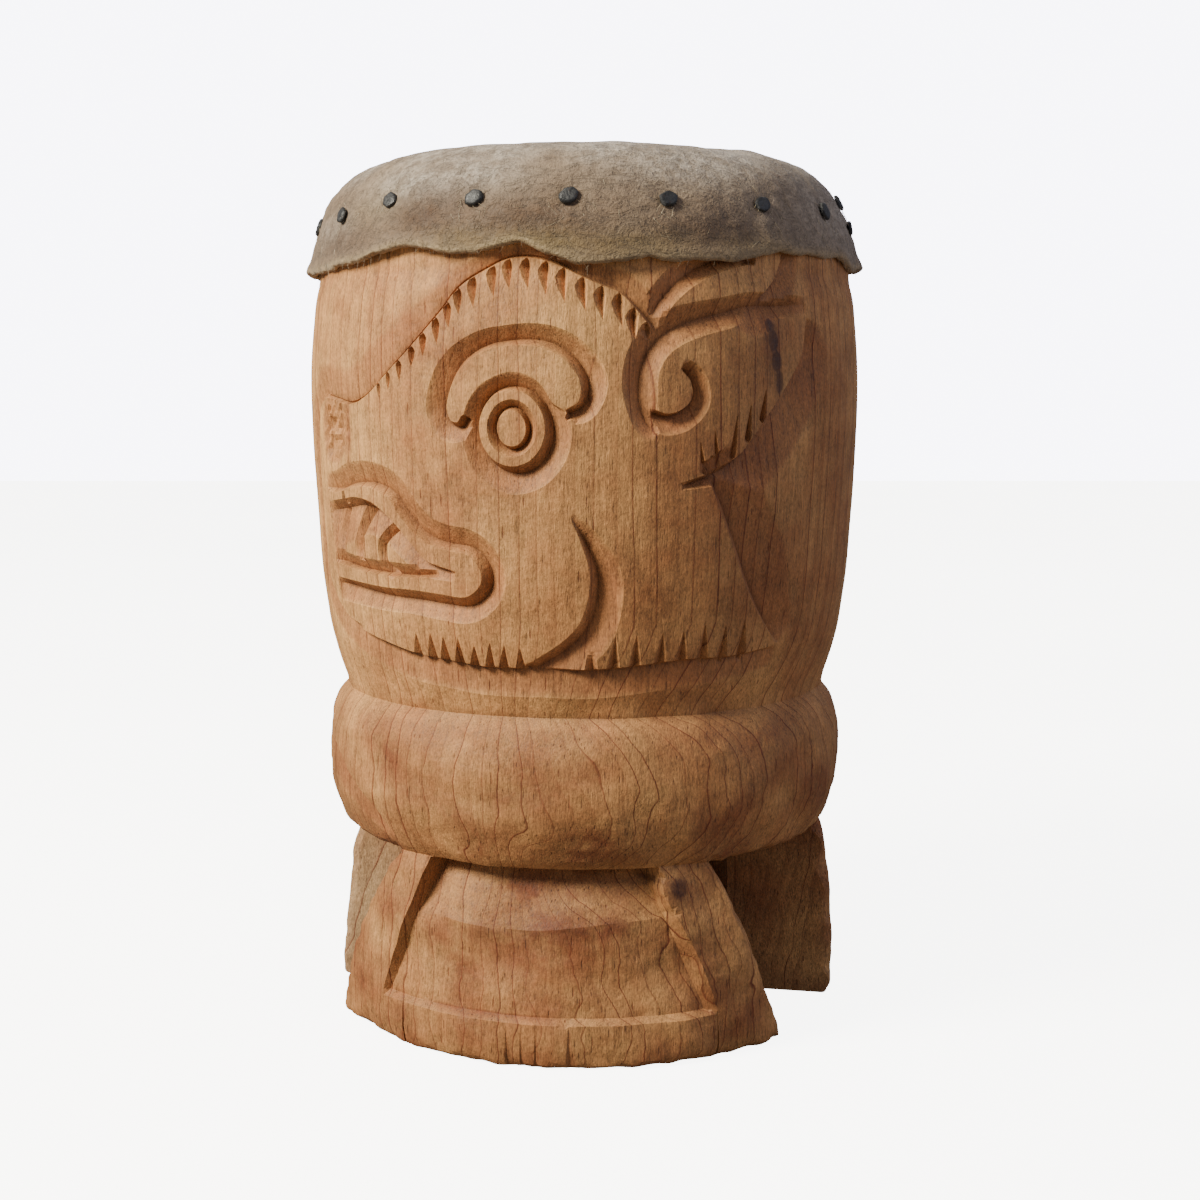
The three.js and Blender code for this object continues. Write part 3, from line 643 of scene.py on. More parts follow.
@dataclass
class Log:
    """The hollowed log: its outside, bore, feet and carving, made as one closed mesh."""

    foot: Line = (
        (0, 139.6), (6, 140.6), (28, 140.8), (52, 140.3), (69, 139.2), (81, 137.3), (92, 134.9),
        (101, 132.2),
    )
    moulding: Line = (
        (101, 132.2), (104, 134.4), (109, 136.6), (115, 139), (121, 140.9), (128, 142.3), (136, 143.1),
        (144, 143.2), (150, 142.8), (155, 142.2), (161, 141), (166, 139.2), (172, 136.2), (177, 132.0),
    )
    barrel: Line = (
        (177, 132.0), (183, 133.4), (189, 135.3), (200, 138.7), (211, 141.5), (223, 143.3), (245, 146.1),
        (267, 147.5), (289, 148.6), (310, 149.6), (330, 150.1), (354, 149.7), (375, 148.0), (386, 146.7),
        (395, 144.3),
    )
    rim_centre: Pair = (96.8, 395.0)
    rim_size: Pair = (47.5, 59.5)
    rim_power: float = 2.28
    crest_radius: float = 115.0
    bore: Line = ((0, 82), (150, 82), (215, 110))
    mouth_chamfer: float = 5.0
    roof: float = 100.0
    gaps: tuple[tuple[float, float, float, float], ...] = (
        (-93, -71, -104, -47), (48, 79, 29, 90), (160, 188, 149, 198),
    )
    seam: float = -140.0
    corner: float = 4.5
    wall_steps: int = 12
    wall_radius: float = 142.0
    side_step: float = 4.0
    bore_step: float = 8.0
    moulding_flat: Cut = Cut(((-118, 110), (-135, 124), (-160, 139), (-192, 152)), depth=(1.8, 3.2, 2.6),
                             lean=(0.9,), reach=(5, 13, 16, 16), fade=(6, 26))
    cracks: tuple[Gouge, ...] = (
        Gouge((-109, 3), (-109.6, 27), 1.5, 4.0), Gouge((76, 3), (75, 26), 1.2, 3.0),
        Gouge((-42, 3), (-42.5, 21), 5.0, 1.0), Gouge((-34, 3), (-34.5, 24), 4.0, 0.7),
        Gouge((-26, 3), (-26.3, 22), 4.0, 0.8), Gouge((-8, 3), (-8.5, 25), 7.0, 1.2),
    )
    head: HeadCarving = field(default_factory=HeadCarving)
    panel: FootPanel = field(default_factory=FootPanel)

    def rim_table(self) -> tuple[Array, Array, Array]:
        """The shoulder under the hide, from its start to the crest.

        Returns:
            Lengths along it counted on from its start height, radii, and heights.
        """
        section = shoulder(np.linspace(0, np.pi / 2, 400), self.rim_centre, self.rim_size, self.rim_power)
        section = section[section[:, 0] >= self.crest_radius]
        return self.rim_centre[1] + lengths_along(section), section[:, 0], section[:, 1]

    def outside(self, v: Array) -> tuple[Array, Array]:
        """Radius and height of the untouched outside at lengths up its side.

        Up to the shoulder a length up the side is simply the height.

        Args:
            v: lengths up the side.

        Returns:
            Radii and heights.
        """
        rim_v, rim_r, rim_z = self.rim_table()
        radius = np.interp(v, rim_v, rim_r)
        height = np.where(v <= rim_v[0], v, np.interp(v, rim_v, rim_z))
        for part in (self.foot, self.moulding, self.barrel):
            knots, values = np.array(part, float).T
            here = (v >= knots[0]) & (v <= knots[-1])
            radius = np.where(here, smooth_through(v, knots, values), radius)
        return radius, height

    def inside(self, v: Array, crest: float) -> Array:
        """Radius of the bore at heights, with a chamfer at the mouth."""
        knots, values = np.array(self.bore + ((crest - self.mouth_chamfer, 110), (crest, 115)), float).T
        return np.interp(v, knots, values)

    def lower_rim(self) -> tuple[Array, Array]:
        """The closed line round the feet, across the floor, up the sides of the gaps and over their roofs.

        A gap's side is a flat sawn face. It stands off the radius at its foot by a distance that grows
        with height, so at radius r its angle is the foot's angle plus the arcsine of distance over r.

        Returns:
            (arc, height) points on the outside, and the matching points on the bore.
        """
        roof_radius = float(self.outside(np.array([self.foot[-1][0]]))[0][0])
        rise = np.linspace(0, self.roof, 42)
        radii = (self.outside(rise)[0], self.bore[0][1])

        def level(start: Array, end: Array) -> Array:
            """A run at one height between rows of outer angle, inner angle and height, without them."""
            count = max(2, int(abs(end[0] - start[0]) / 360 * TURN / 2.6))
            share = np.linspace(0, 1, count + 1)[1:-1, None]
            return start + (end - start) * share

        def side(low: float, high: float) -> Array:
            """A gap's side from the floor up, as such rows."""
            off = rise / self.roof * roof_radius * np.sin(np.radians(high - low))
            return np.stack([low + np.degrees(np.arcsin(off / r)) for r in radii] + [rise], axis=1)

        at, end = (np.array([angle, angle, 0.0]) for angle in (self.seam, self.seam + 360))
        rows = [at[None]]
        for low0, low1, high0, high1 in self.gaps:
            up, down = side(low0, high0), side(low1, high1)[::-1]
            rows += [level(at, up[0]), up, level(up[-1], down[0]), down]
            at = down[-1]
        rim = np.concatenate(rows + [level(at, end), end[None]]) * np.array([TURN / 360, TURN / 360, 1.0])
        return rim[:, [0, 2]], rim[:, [1, 2]]

    def rim_distance(self, arc: Array, v: Array, rim: Array) -> Array:
        """Distance to the lower rim, up to a few millimetres, on the unrolled surface."""
        far = np.full(arc.shape, 99.0)
        near = np.flatnonzero(v < self.roof + 8)
        for first in range(0, len(near), BATCH):
            rows = near[first:first + BATCH]
            gap = from_sides(np.stack([arc[rows], v[rows]], axis=1), rim[:-1], np.diff(rim, axis=0))[1]
            far[rows] = np.sqrt((gap ** 2).sum(axis=2).min(axis=1))
        return far

    def relief(self, arc: Array, v: Array) -> tuple[Array, Array, Array]:
        """Depth of all the carving, a mask of the cut surfaces, and painted shade at the feet of walls and in
        valleys.

        The cuts are laid over each other by taking the deepest at each point, except that an island
        is left alone by the cuts that spare it.

        Args:
            arc: arcs of the points.
            v: their lengths up the side.

        Returns:
            The three arrays.
        """
        islands = {name: inside_outline(arc, v, line) for name, line in self.head.islands().items()}
        depth, dirt = np.zeros(arc.shape), np.zeros(arc.shape)
        for cut in [self.moulding_flat] + self.head.cuts():
            # foot: this cut's painted shade at the foot of its wall
            one, foot = cut.depth_at(arc, v)
            for name in cut.spared:
                one[islands[name]] = 0
            one += depth * cut.sunk * (one > 0)
            dirt = np.where(one > depth, foot, dirt)
            depth = np.maximum(depth, one)
        for gouge in self.head.gouges() + list(self.cracks):
            # foot: the gouge's painted shade along its valley
            one, foot = gouge.depth_at(arc, v)
            dirt = np.where(one > depth, np.maximum(foot, dirt), dirt)
            depth = np.maximum(depth, one)
        depth = np.maximum(depth, self.head.nose_depth(arc, v))
        cut_mask = np.clip(depth / 0.4, 0, 1)
        return np.maximum(depth, self.panel.depth_at(arc, v)), cut_mask, dirt

    def hand_work(self, points: Array, v: Array) -> Array:
        """Unevenness left by hand tools: long flats on the barrel, shorter ones on the moulding and feet."""
        long_flats = 0.45 * ripple(points, 42, 3, stretch=4) + 0.14 * ripple(points, 11, 4, stretch=5)
        flats = 0.9 * ripple(points, 36, 5) + 0.25 * ripple(points, 11, 6)
        share = eased(v, 170, 190)
        return (flats * (1 - share) + long_flats * share) * (1 - eased(v, 385, 395))

    def creases(self, left: float, right: float) -> list[Array]:
        """The lines on the outside that no triangle crosses."""
        lines = [level_line(left + 3, right - 3, z, 400) for z in (self.foot[-1][0], self.moulding[-1][0])]
        for cut in self.head.cuts() + [self.moulding_flat] + self.head.gouges() + list(self.cracks):
            lines += cut.creases()
        return lines + self.panel.creases()

    def corner_points(self, rim: Array) -> Array:
        """Rows of points just inside the lower rim, so that its rounded corner has a true section."""
        normals = left_normals(rim, closed=False)
        return np.concatenate([rim + normals * self.corner * share for share in CORNER_ROWS])

    def background(self, left: float, right: float, top: float) -> Array:
        """Staggered points that fill the outside, close together where there is carving."""
        zones = (
            (-192, 146, 196, 404, 1.75), (left, -192, 196, 404, 5.0), (146, right, 196, 404, 5.0),
            (left, right, 178, 196, 3.4), (left, right, 102, 176, 3.0), (left, right, 404, top, 5.0),
            (-186, 128, 1, 100, 2.3), (left, -186, 1, 100, 4.0), (128, right, 1, 100, 4.0),
        )
        return np.concatenate([staggered(*zone) for zone in zones])

    def build(self) -> "MeshData":
        """The whole log as one closed mesh.

        The outside is triangulated on its unrolled surface, with every crease as a line that no
        triangle crosses, and then wrapped round the axis at its radius less the carving's depth.
        The bore is triangulated in the same way, and the two rims round the feet are joined by
        straight lines, which make the gaps' sides, their roofs and the undersides of the feet.

        Returns:
            The mesh, with the values that its finish reads.
        """
        rim_v, _, rim_z = self.rim_table()
        top, crest = float(rim_v[-1]), float(rim_z[-1])
        outer_rim, inner_rim = self.lower_rim()
        left, right = outer_rim[0, 0], outer_rim[-1, 0]
        border, sides = frame_border(outer_rim, top, self.side_step)
        flat, faces = triangulate(border, self.creases(left, right), self.background(left, right, top), 1.15,
                                  self.corner_points(outer_rim))
        arc, v = flat[:, 0], flat[:, 1]
        radius, height = self.outside(v)
        untouched = on_log(arc, radius, height)
        depth, cut_mask, dirt = self.relief(arc, v)
        corner = self.corner * (1 + 0.35 * ripple(untouched, 9, 8) + 0.25 * ripple(untouched, 24, 9))
        worn = np.clip(corner - self.rim_distance(arc, v, outer_rim), 0, corner)
        rounding = corner - np.sqrt(corner ** 2 - worn ** 2)
        outer = on_log(arc, radius + self.hand_work(untouched, v) - depth - rounding, height)

        inner_border, inner_sides = frame_border(inner_rim, crest, self.bore_step)
        heights = [self.bore[1][0], self.bore[2][0], crest - self.mouth_chamfer]
        bends = [level_line(left + 4, right - 4, z, 120) for z in heights]
        fill = staggered(left, right, 4, crest - 6, 9.0)
        inner_flat, inner_faces = triangulate(inner_border, bends, fill, 3.0)
        inner_radius = self.inside(inner_flat[:, 1], crest)
        inner = on_log(inner_flat[:, 0], inner_radius, inner_flat[:, 1])

        count = len(outer_rim)
        close_seam(inner, count, inner_sides)
        outer[count + sides:][:TOP_POINTS + 1] = inner[count + inner_sides:][:TOP_POINTS + 1]
        close_seam(outer, count, sides)
        data = MeshData()
        first_out = data.add(outer, faces, arc[faces], radius, cut_mask, dirt)
        turned = inner_faces[:, ::-1]
        first_in = data.add(inner, turned, inner_flat[:, 0][turned], inner_radius + 60)
        data.add_ruled((first_out, first_in), outer_rim[:, 0], self.wall_radius, self.wall_steps)
        data.weld()
        return data


def shoulder(turn: Array, centre: Pair, size: Pair, power: float) -> Array:
    """Radii and heights of a rounded shoulder: a circle's cosine and sine, each raised to 2 over a power."""
    round_part = np.stack([np.cos(turn), np.sin(turn)], axis=1) ** (2 / power)
    return np.array(centre) + np.array(size) * round_part


def frame_border(rim: Array, top: float, step: float) -> tuple[Array, int]:
    """The closed border of an unrolled surface.

    Args:
        rim: its lower edge from left to right.
        top: the height of its upper edge.
        step: the spacing of the points on its sides.

    Returns:
        Its points, in the order rim, right side, upper edge and left side, and the count of each side.
    """
    left, right = rim[0, 0], rim[-1, 0]
    rise = np.arange(step, top - step / 2, step)
    sides = [np.stack([np.full(len(v), arc), v], axis=1) for arc, v in ((right, rise), (left, rise[::-1]))]
    return np.concatenate([rim, sides[0], level_line(right, left, top, TOP_POINTS + 1), sides[1]]), len(rise)


def close_seam(points: Array, n_rim: int, n_side: int) -> None:
    """Puts the left side of a wrapped border exactly on its right side.

    Args:
        points: wrapped points that start with the border: rim, right side, top, left side.
        n_rim: points of its rim.
        n_side: points of each side.
    """
    corner = n_rim + n_side + TOP_POINTS
    points[0] = points[n_rim - 1]
    points[corner] = points[corner - TOP_POINTS]
    points[corner + 1:corner + 1 + n_side] = points[n_rim:n_rim + n_side][::-1]


def staggered(left: float, right: float, low: float, high: float, size: float) -> Array:
    """Points in rows that make even triangles of a size, filling a rectangle."""
    rows = np.arange(low + size * 0.4, high - size * 0.2, size * 0.866)
    columns = np.arange(left + size * 0.4, right - size * 0.2, size)
    x = columns[None, :] + (np.arange(len(rows)) % 2)[:, None] * size / 2
    y = np.broadcast_to(rows[:, None], x.shape)
    return np.stack([x.ravel(), y.ravel()], axis=1)


def triangulate(border: Array, creases: list[Array], fill: Array, clear: float,
                extra: Array | None = None) -> tuple[Array, Array]:
    """Triangles inside a border that follow every crease.

    Filling points are dropped where they come close to a line, by marking the lines on a fine grid.

    Args:
        border: the closed outline, whose points come first in the result.
        creases: open lines inside it.
        fill: filling points.
        clear: how far filling points keep from a line.
        extra: rows of points beside the border, kept wherever no crease is close.

    Returns:
        The points, and the triangles as rows of three indices, anticlockwise.
    """
    cell = clear / 1.5
    low = border.min(axis=0) - 3 * cell
    size = ((border.max(axis=0) + 3 * cell - low) / cell).astype(int) + 2

    def clear_of(points: Array, runs: list[Array]) -> Array:
        """The points that keep clear of some lines.

        Args:
            points: the points.
            runs: the lines.

        Returns:
            Those that lie neither in a cell that a line crosses nor beside one.
        """
        marks = np.zeros(size, bool)
        for run in runs:
            count = max(2, int(lengths_along(run)[-1] / cell * 2))
            x, y = ((respaced(run, count) - low) / cell).astype(int).T
            marks[x, y] = True
        wide = marks.copy()
        for shift in np.ndindex(3, 3):
            wide |= np.roll(marks, np.array(shift) - 1, (0, 1))
        x, y = np.clip(((points - low) / cell).astype(int), 0, size - 1).T
        return points[~wide[x, y]]

    kept = clear_of(fill, [np.concatenate([border, border[:1]])] + creases)
    verts = [border] + creases + [kept]
    if extra is not None:
        rows = np.split(extra, len(CORNER_ROWS))
        verts[-1:] = [clear_of(extra, creases), clear_of(kept, rows)]
    ring = np.arange(len(border))
    edges = [np.stack([ring, np.roll(ring, -1)], axis=1)]
    first = len(border)
    for run in creases:
        index = np.arange(len(run) - 1) + first
        edges.append(np.stack([index, index + 1], axis=1))
        first += len(run)
    out = delaunay_2d_cdt(np.concatenate(verts).tolist(), np.concatenate(edges).tolist(), [], 1, 1e-5, True)
    points = np.array([tuple(p) for p in out[0]])
    faces = np.array(out[2])
    middle = points[faces].mean(axis=1)
    faces = faces[inside_outline(middle[:, 0], middle[:, 1], border)]
    origin = np.array([min(sources, default=-1) for sources in out[3]])
    from_border = np.flatnonzero((origin >= 0) & (origin < len(border)))
    order = np.full(len(border), -1)
    order[origin[from_border]] = from_border
    arranged = np.concatenate([order, np.setdiff1d(faces, order)])
    renumber = np.full(len(points), -1)
    renumber[arranged] = np.arange(len(arranged))
    return points[arranged], renumber[faces]


def strip_faces(grid: Array) -> Array:
    """Two triangles for each square of a grid of indices, or the values at their corners."""
    a, b, c, d = grid[:-1, :-1], grid[:-1, 1:], grid[1:, 1:], grid[1:, :-1]
    return np.concatenate([np.stack(corners, axis=-1).reshape(-1, 3) for corners in ((b, a, d), (b, d, c))])


def ringed_faces(rows: int, columns: int) -> Array:
    """Triangles between closed rings of points, with a fan at each end to one of two points after them."""
    rings = np.arange(rows * columns).reshape(rows, columns)
    rings = np.concatenate([rings, rings[:, :1]], axis=1)
    fans = [np.stack([np.full(columns, rows * columns + end), ring[:-1], ring[1:]], axis=-1)
            for end, ring in ((0, rings[0]), (1, rings[-1, ::-1]))]
    return np.concatenate([strip_faces(rings[:, ::-1])[:, ::-1]] + fans)


@dataclass
class MeshData:
    """Points, faces and the values that the finishes read, gathered from several surfaces."""

    points: Array = field(default_factory=lambda: np.zeros((0, 3)))
    faces: Array = field(default_factory=lambda: np.zeros((0, 3), int))
    corner_arc: Array = field(default_factory=lambda: np.zeros((0, 3)))
    base: Array = field(default_factory=lambda: np.zeros(0))
    cut: Array = field(default_factory=lambda: np.zeros(0))
    # painted shade in creases and at the feet of carved walls, for each point
    dirt: Array = field(default_factory=lambda: np.zeros(0))

    def add(self, points: Array, faces: Array, corner_arc: Array, base: Array | float,
            cut: Array | float = 0.0, dirt: Array | float = 0.0) -> int:
        """Adds a surface.

        Args:
            points: its points.
            faces: its triangles, whose indices are counted from its own first point.
            corner_arc: the arc at each corner of each triangle.
            base: radius of the untouched outside at each point.
            cut: how far each point lies on a cut.
            dirt: how much painted shade darkens each point, in creases and at the feet of walls.

        Returns:
            The index of its first point in the whole.
        """
        first = len(self.points)
        fresh = {"points": points, "faces": faces + first, "corner_arc": corner_arc}
        for name, value in (("base", base), ("cut", cut), ("dirt", dirt)):
            fresh[name] = np.broadcast_to(value, len(points))
        for name, value in fresh.items():
            setattr(self, name, np.concatenate([getattr(self, name), value]))
        return first

    def add_ruled(self, firsts: tuple[int, int], arc: Array, base: float, steps: int) -> None:
        """Joins two rims by straight lines, split into steps.

        A point is the outer rim's times (1 - t) plus the inner rim's times t.

        Args:
            firsts: the index of each rim's first point.
            arc: the arc of each pair that is joined.
            base: radius of the untouched outside there.
            steps: how many steps a line has.
        """
        count = len(arc)
        outer, inner = (self.points[first:first + count] for first in firsts)
        t = (np.arange(1, steps) / steps)[:, None, None]
        middle = (outer * (1 - t) + inner * t).reshape(-1, 3)
        own = np.arange(len(middle)).reshape(-1, count)
        rims = [np.arange(count) + first - len(self.points) for first in firsts]
        grid = np.vstack([rims[0], own, rims[1]])
        self.add(middle, strip_faces(grid), strip_faces(np.broadcast_to(arc, grid.shape)), base)

    def weld(self) -> None:
        """Merges points that lie on each other and drops faces that this makes flat."""
        key = np.round(self.points / 1e-3).astype(np.int64)
        _, first, same = np.unique(key, axis=0, return_index=True, return_inverse=True)
        for name in ("points", "base", "cut", "dirt"):
            setattr(self, name, getattr(self, name)[first])
        faces = same.ravel()[self.faces]
        good = (faces != np.roll(faces, 1, axis=1)).all(axis=1)
        self.faces, self.corner_arc = faces[good], self.corner_arc[good]

    def open_edges(self) -> int:
        """How many edges are not shared by exactly two faces that run opposite ways."""
        start, end = self.faces.ravel(), np.roll(self.faces, -1, axis=1).ravel()
        there, back = start * len(self.points) + end, end * len(self.points) + start
        doubled = len(there) - len(np.unique(there))
        return int(doubled + (~np.isin(there, back)).sum())

    def to_object(self, name: str, sharp_degrees: float = 17.0) -> Object:
        """A smooth-shaded object in metres, with edges sharper than an angle left crisp.

        Args:
            name: the object's name.
            sharp_degrees: that angle.

        Returns:
            The object, in the scene.
        """
        log.info("%s: %d faces, %d open edges", name, len(self.faces), self.open_edges())
        mesh = bpy.data.meshes.new(name)
        mesh.vertices.add(len(self.points))
        mesh.vertices.foreach_set("co", (self.points * MM).astype(np.float32).ravel())
        mesh.loops.add(self.faces.size)
        mesh.loops.foreach_set("vertex_index", self.faces.astype(np.int32).ravel())
        mesh.polygons.add(len(self.faces))
        mesh.polygons.foreach_set("loop_start", np.arange(0, self.faces.size, 3, dtype=np.int32))
        mesh.update(calc_edges=True)
        mesh.validate()
        mesh.polygons.foreach_set("use_smooth", np.ones(len(mesh.polygons), bool))
        mesh.set_sharp_from_angle(angle=np.radians(sharp_degrees))
        return linked(name, mesh)


# ---- grain and marks of the wood ----


@dataclass(frozen=True)
class Grain:
    """How the growth rings run through the log.

    A ring is a surface of equal "ring length". On the outside that is the arc, so that rings show as
    upright lines, moved sideways where the wood is cut deeper, and turned about a knot.
    """

    knot: Pair = (-2.0, 106.0)
    knot_reach: float = 27.0
    knot_turn: float = 1.15
    slant_arcs: Steps = (-471, -300, -110, -70, -40, 0, 40, 85, 130, 300, 471)
    slants: Steps = (1.5, 1.2, -0.2, -0.6, 0.5, 1.7, 2.5, 2.5, 1.4, 1.2, 1.5)
    moulding_radius: float = 143.5
    wander: float = 2.6

    def rings(self, arc: Array, points: Array, base: Array) -> Array:
        """The ring count at points, a whole number of rings round the log.

        The ring length is the arc turned about the knot, plus the slant there times how far the
        untouched outside lies inside the moulding's widest radius, plus a share of the depth below
        the outside, plus a slow wander.

        Args:
            arc: unwrapped arcs of the points.
            points: the points in space.
            base: radius of the untouched outside there.

        Returns:
            Ring counts.
        """
        radius = np.hypot(points[..., 0], points[..., 1])
        height = points[..., 2]
        dx, dz = arc - self.knot[0], height - self.knot[1]
        turn = self.knot_turn * np.exp(-(dx ** 2 + (dz * 1.25) ** 2) / self.knot_reach ** 2)
        turned = self.knot[0] + dx * np.cos(turn) - dz * np.sin(turn)
        slant = np.interp(wrapped(turned, TURN), self.slant_arcs, self.slants)
        low = 1 - eased(height, 150, 200)
        outside_shift = slant * np.clip(self.moulding_radius - base, 0, None)
        depth_shift = (0.4 + (np.clip(slant, 0.6, None) - 0.4) * low) * (base - radius)
        wander = self.wander * ripple(points, 120, 11, stretch=5) + 0.9 * ripple(points, 30, 12, stretch=3)
        wander += low * (2.6 * ripple(points, 26, 18) + 0.35 * ripple(points, 10, 19))
        return (turned + outside_shift + depth_shift + wander) / TURN * RINGS_ROUND


@dataclass(frozen=True)
class Marks:
    """Where the wood is reddish, dark with resin, or weathered grey; some red and dark patches are painted
    shade instead, under the moulding, on the front foot's ledge and on the neck.
    """

    # Partly painted shade: the three patches at heights 70 to 88 between arcs -24 and 6 are the moulding's
    # painted shadow on the front foot's scoop, the thin one at height 26 is painted shade along the panel's
    # ledge, and the one at arc 60, height 260 is painted shade where the neck turns from the light. The rest
    # are the wood's reddish colour.
    red: Patches = (
        (-2, 110, 52, 10, 0.95), (-20, 88, 66, 12, 1.0), (-20, 66, 90, 32, 0.9), (52, 90, 26, 13, 0.8),
        (98, 355, 14, 26, 0.6), (60, 260, 20, 50, 0.3), (-20, 134, 70, 22, 0.6), (84, 270, 56, 120, 0.42),
        (150, 250, 60, 160, 0.3), (-24, 72, 56, 12, 1.0), (6, 70, 40, 12, 1.0), (5, 118, 30, 10, 1.0),
        (-42, 139, 20, 8, 0.8), (-80, 150, 30, 14, 0.5), (-60, 26, 70, 2, 1.0), (20, 24, 120, 14, 0.3),
        (110, 262, 34, 46, 0.50), (-139, 318, 4, 14, 0.8), (-60, 142, 34, 16, 0.30), (120, 345, 20, 40, 0.4),
        (-120, 92, 22, 16, 0.4), (300, 240, 90, 70, 0.4), (30, 196, 110, 10, 0.25), (-150, 255, 12, 26, 0.35),
    )
    # Partly painted shade: the patches from height 66 to 94 across the front foot's scoop and ridge, and the
    # thin one at height 104 under the moulding, are the moulding's painted shadow. The rest are dark marks of
    # the wood, such as the knot on the moulding and the streak beside the ear.
    dark: Patches = (
        (53, 90, 9, 9, 1.0), (38, 94, 14, 5, 0.8), (97.5, 368, 3.4, 5, 1.2), (99.5, 361, 4.2, 7, 1.3),
        (101.5, 351, 4.4, 7, 1.3), (103.5, 341, 3.4, 8, 1.2), (-56, 66, 20, 6, 0.62), (-32, 68, 26, 7, 0.68),
        (-6, 70, 26, 7, 0.68), (18, 73, 22, 7, 0.68), (34, 79, 16, 7, 0.6), (5, 116, 30, 6, 0.55),
        (-42, 139, 20, 6, 0.45), (-10, 177.6, 110, 1.3, 0.9), (74, 24, 1.4, 40, 0.8), (-15, 124, 50, 5, 0.35),
        (-16, 80, 44, 6, 0.6), (-20, 90, 56, 10, 0.42), (-2, 108, 40, 8, 0.4), (-62, 90, 12, 6, 0.5),
        (-165, 319, 2.4, 3, 0.7), (-163.5, 306, 2.4, 3, 0.7), (20, 86, 26, 5, 0.6), (-2, 106, 12, 5, 0.5),
        (-186, 128, 5, 30, 0.5), (340, 300, 5, 22, 0.8), (-300, 210, 6, 26, 0.7), (10, 104, 40, 2.5, 0.5),
    )
    grey: Patches = ((-244, 50, 34, 70, 1.0), (-205, 60, 14, 60, 0.9))

    def colours(self, points: Array, cut: Array) -> Array:
        """Red, dark, grey and cut masks as the four channels of a colour."""
        arc = np.arctan2(points[:, 0], -points[:, 1]) * ARC_RADIUS
        height = points[:, 2]
        red, dark, grey = (patched(patches, arc, height) for patches in (self.red, self.dark, self.grey))
        low = 0.55 * (1 - eased(height, 165, 185)) * (0.85 + 0.5 * ripple(points, 34, 14))
        return np.stack([np.maximum(red, low), dark, grey, cut], axis=1)


def linked(name: str, data: bpy.types.ID) -> Object:
    """A new object in the scene."""
    made = bpy.data.objects.new(name, data)
    bpy.context.scene.collection.objects.link(made)
    return made


def store(mesh: Mesh, name: str, values: Array, domain: str = "POINT") -> None:
    """Keeps a number or a colour for each point of a mesh, or for each of another domain, under a name."""
    kind, member = ("FLOAT_COLOR", "color") if values.ndim > 1 else ("FLOAT", "value")
    layer = mesh.attributes.new(name, kind, domain)
    layer.data.foreach_set(member, values.astype(np.float32).ravel())


def dress(made: Object, material: Material, replaced: str = "") -> None:
    """Gives a piece its material and its body, and hides the part of model.glb that it replaces, where there
    is one.
    """
    made.data.materials.append(material)
    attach(made, "root")
    if replaced:
        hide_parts(replaced)


# ---- finishes ----


def linear(red: int, green: int, blue: int) -> Colour:
    """A colour given as it looks on a screen, 0 to 255, in the linear values that shaders take."""
    srgb = np.array([red, green, blue]) / 255
    value = np.where(srgb <= 0.04045, srgb / 12.92, ((srgb + 0.055) / 1.055) ** 2.4)
    return (float(value[0]), float(value[1]), float(value[2]), 1.0)


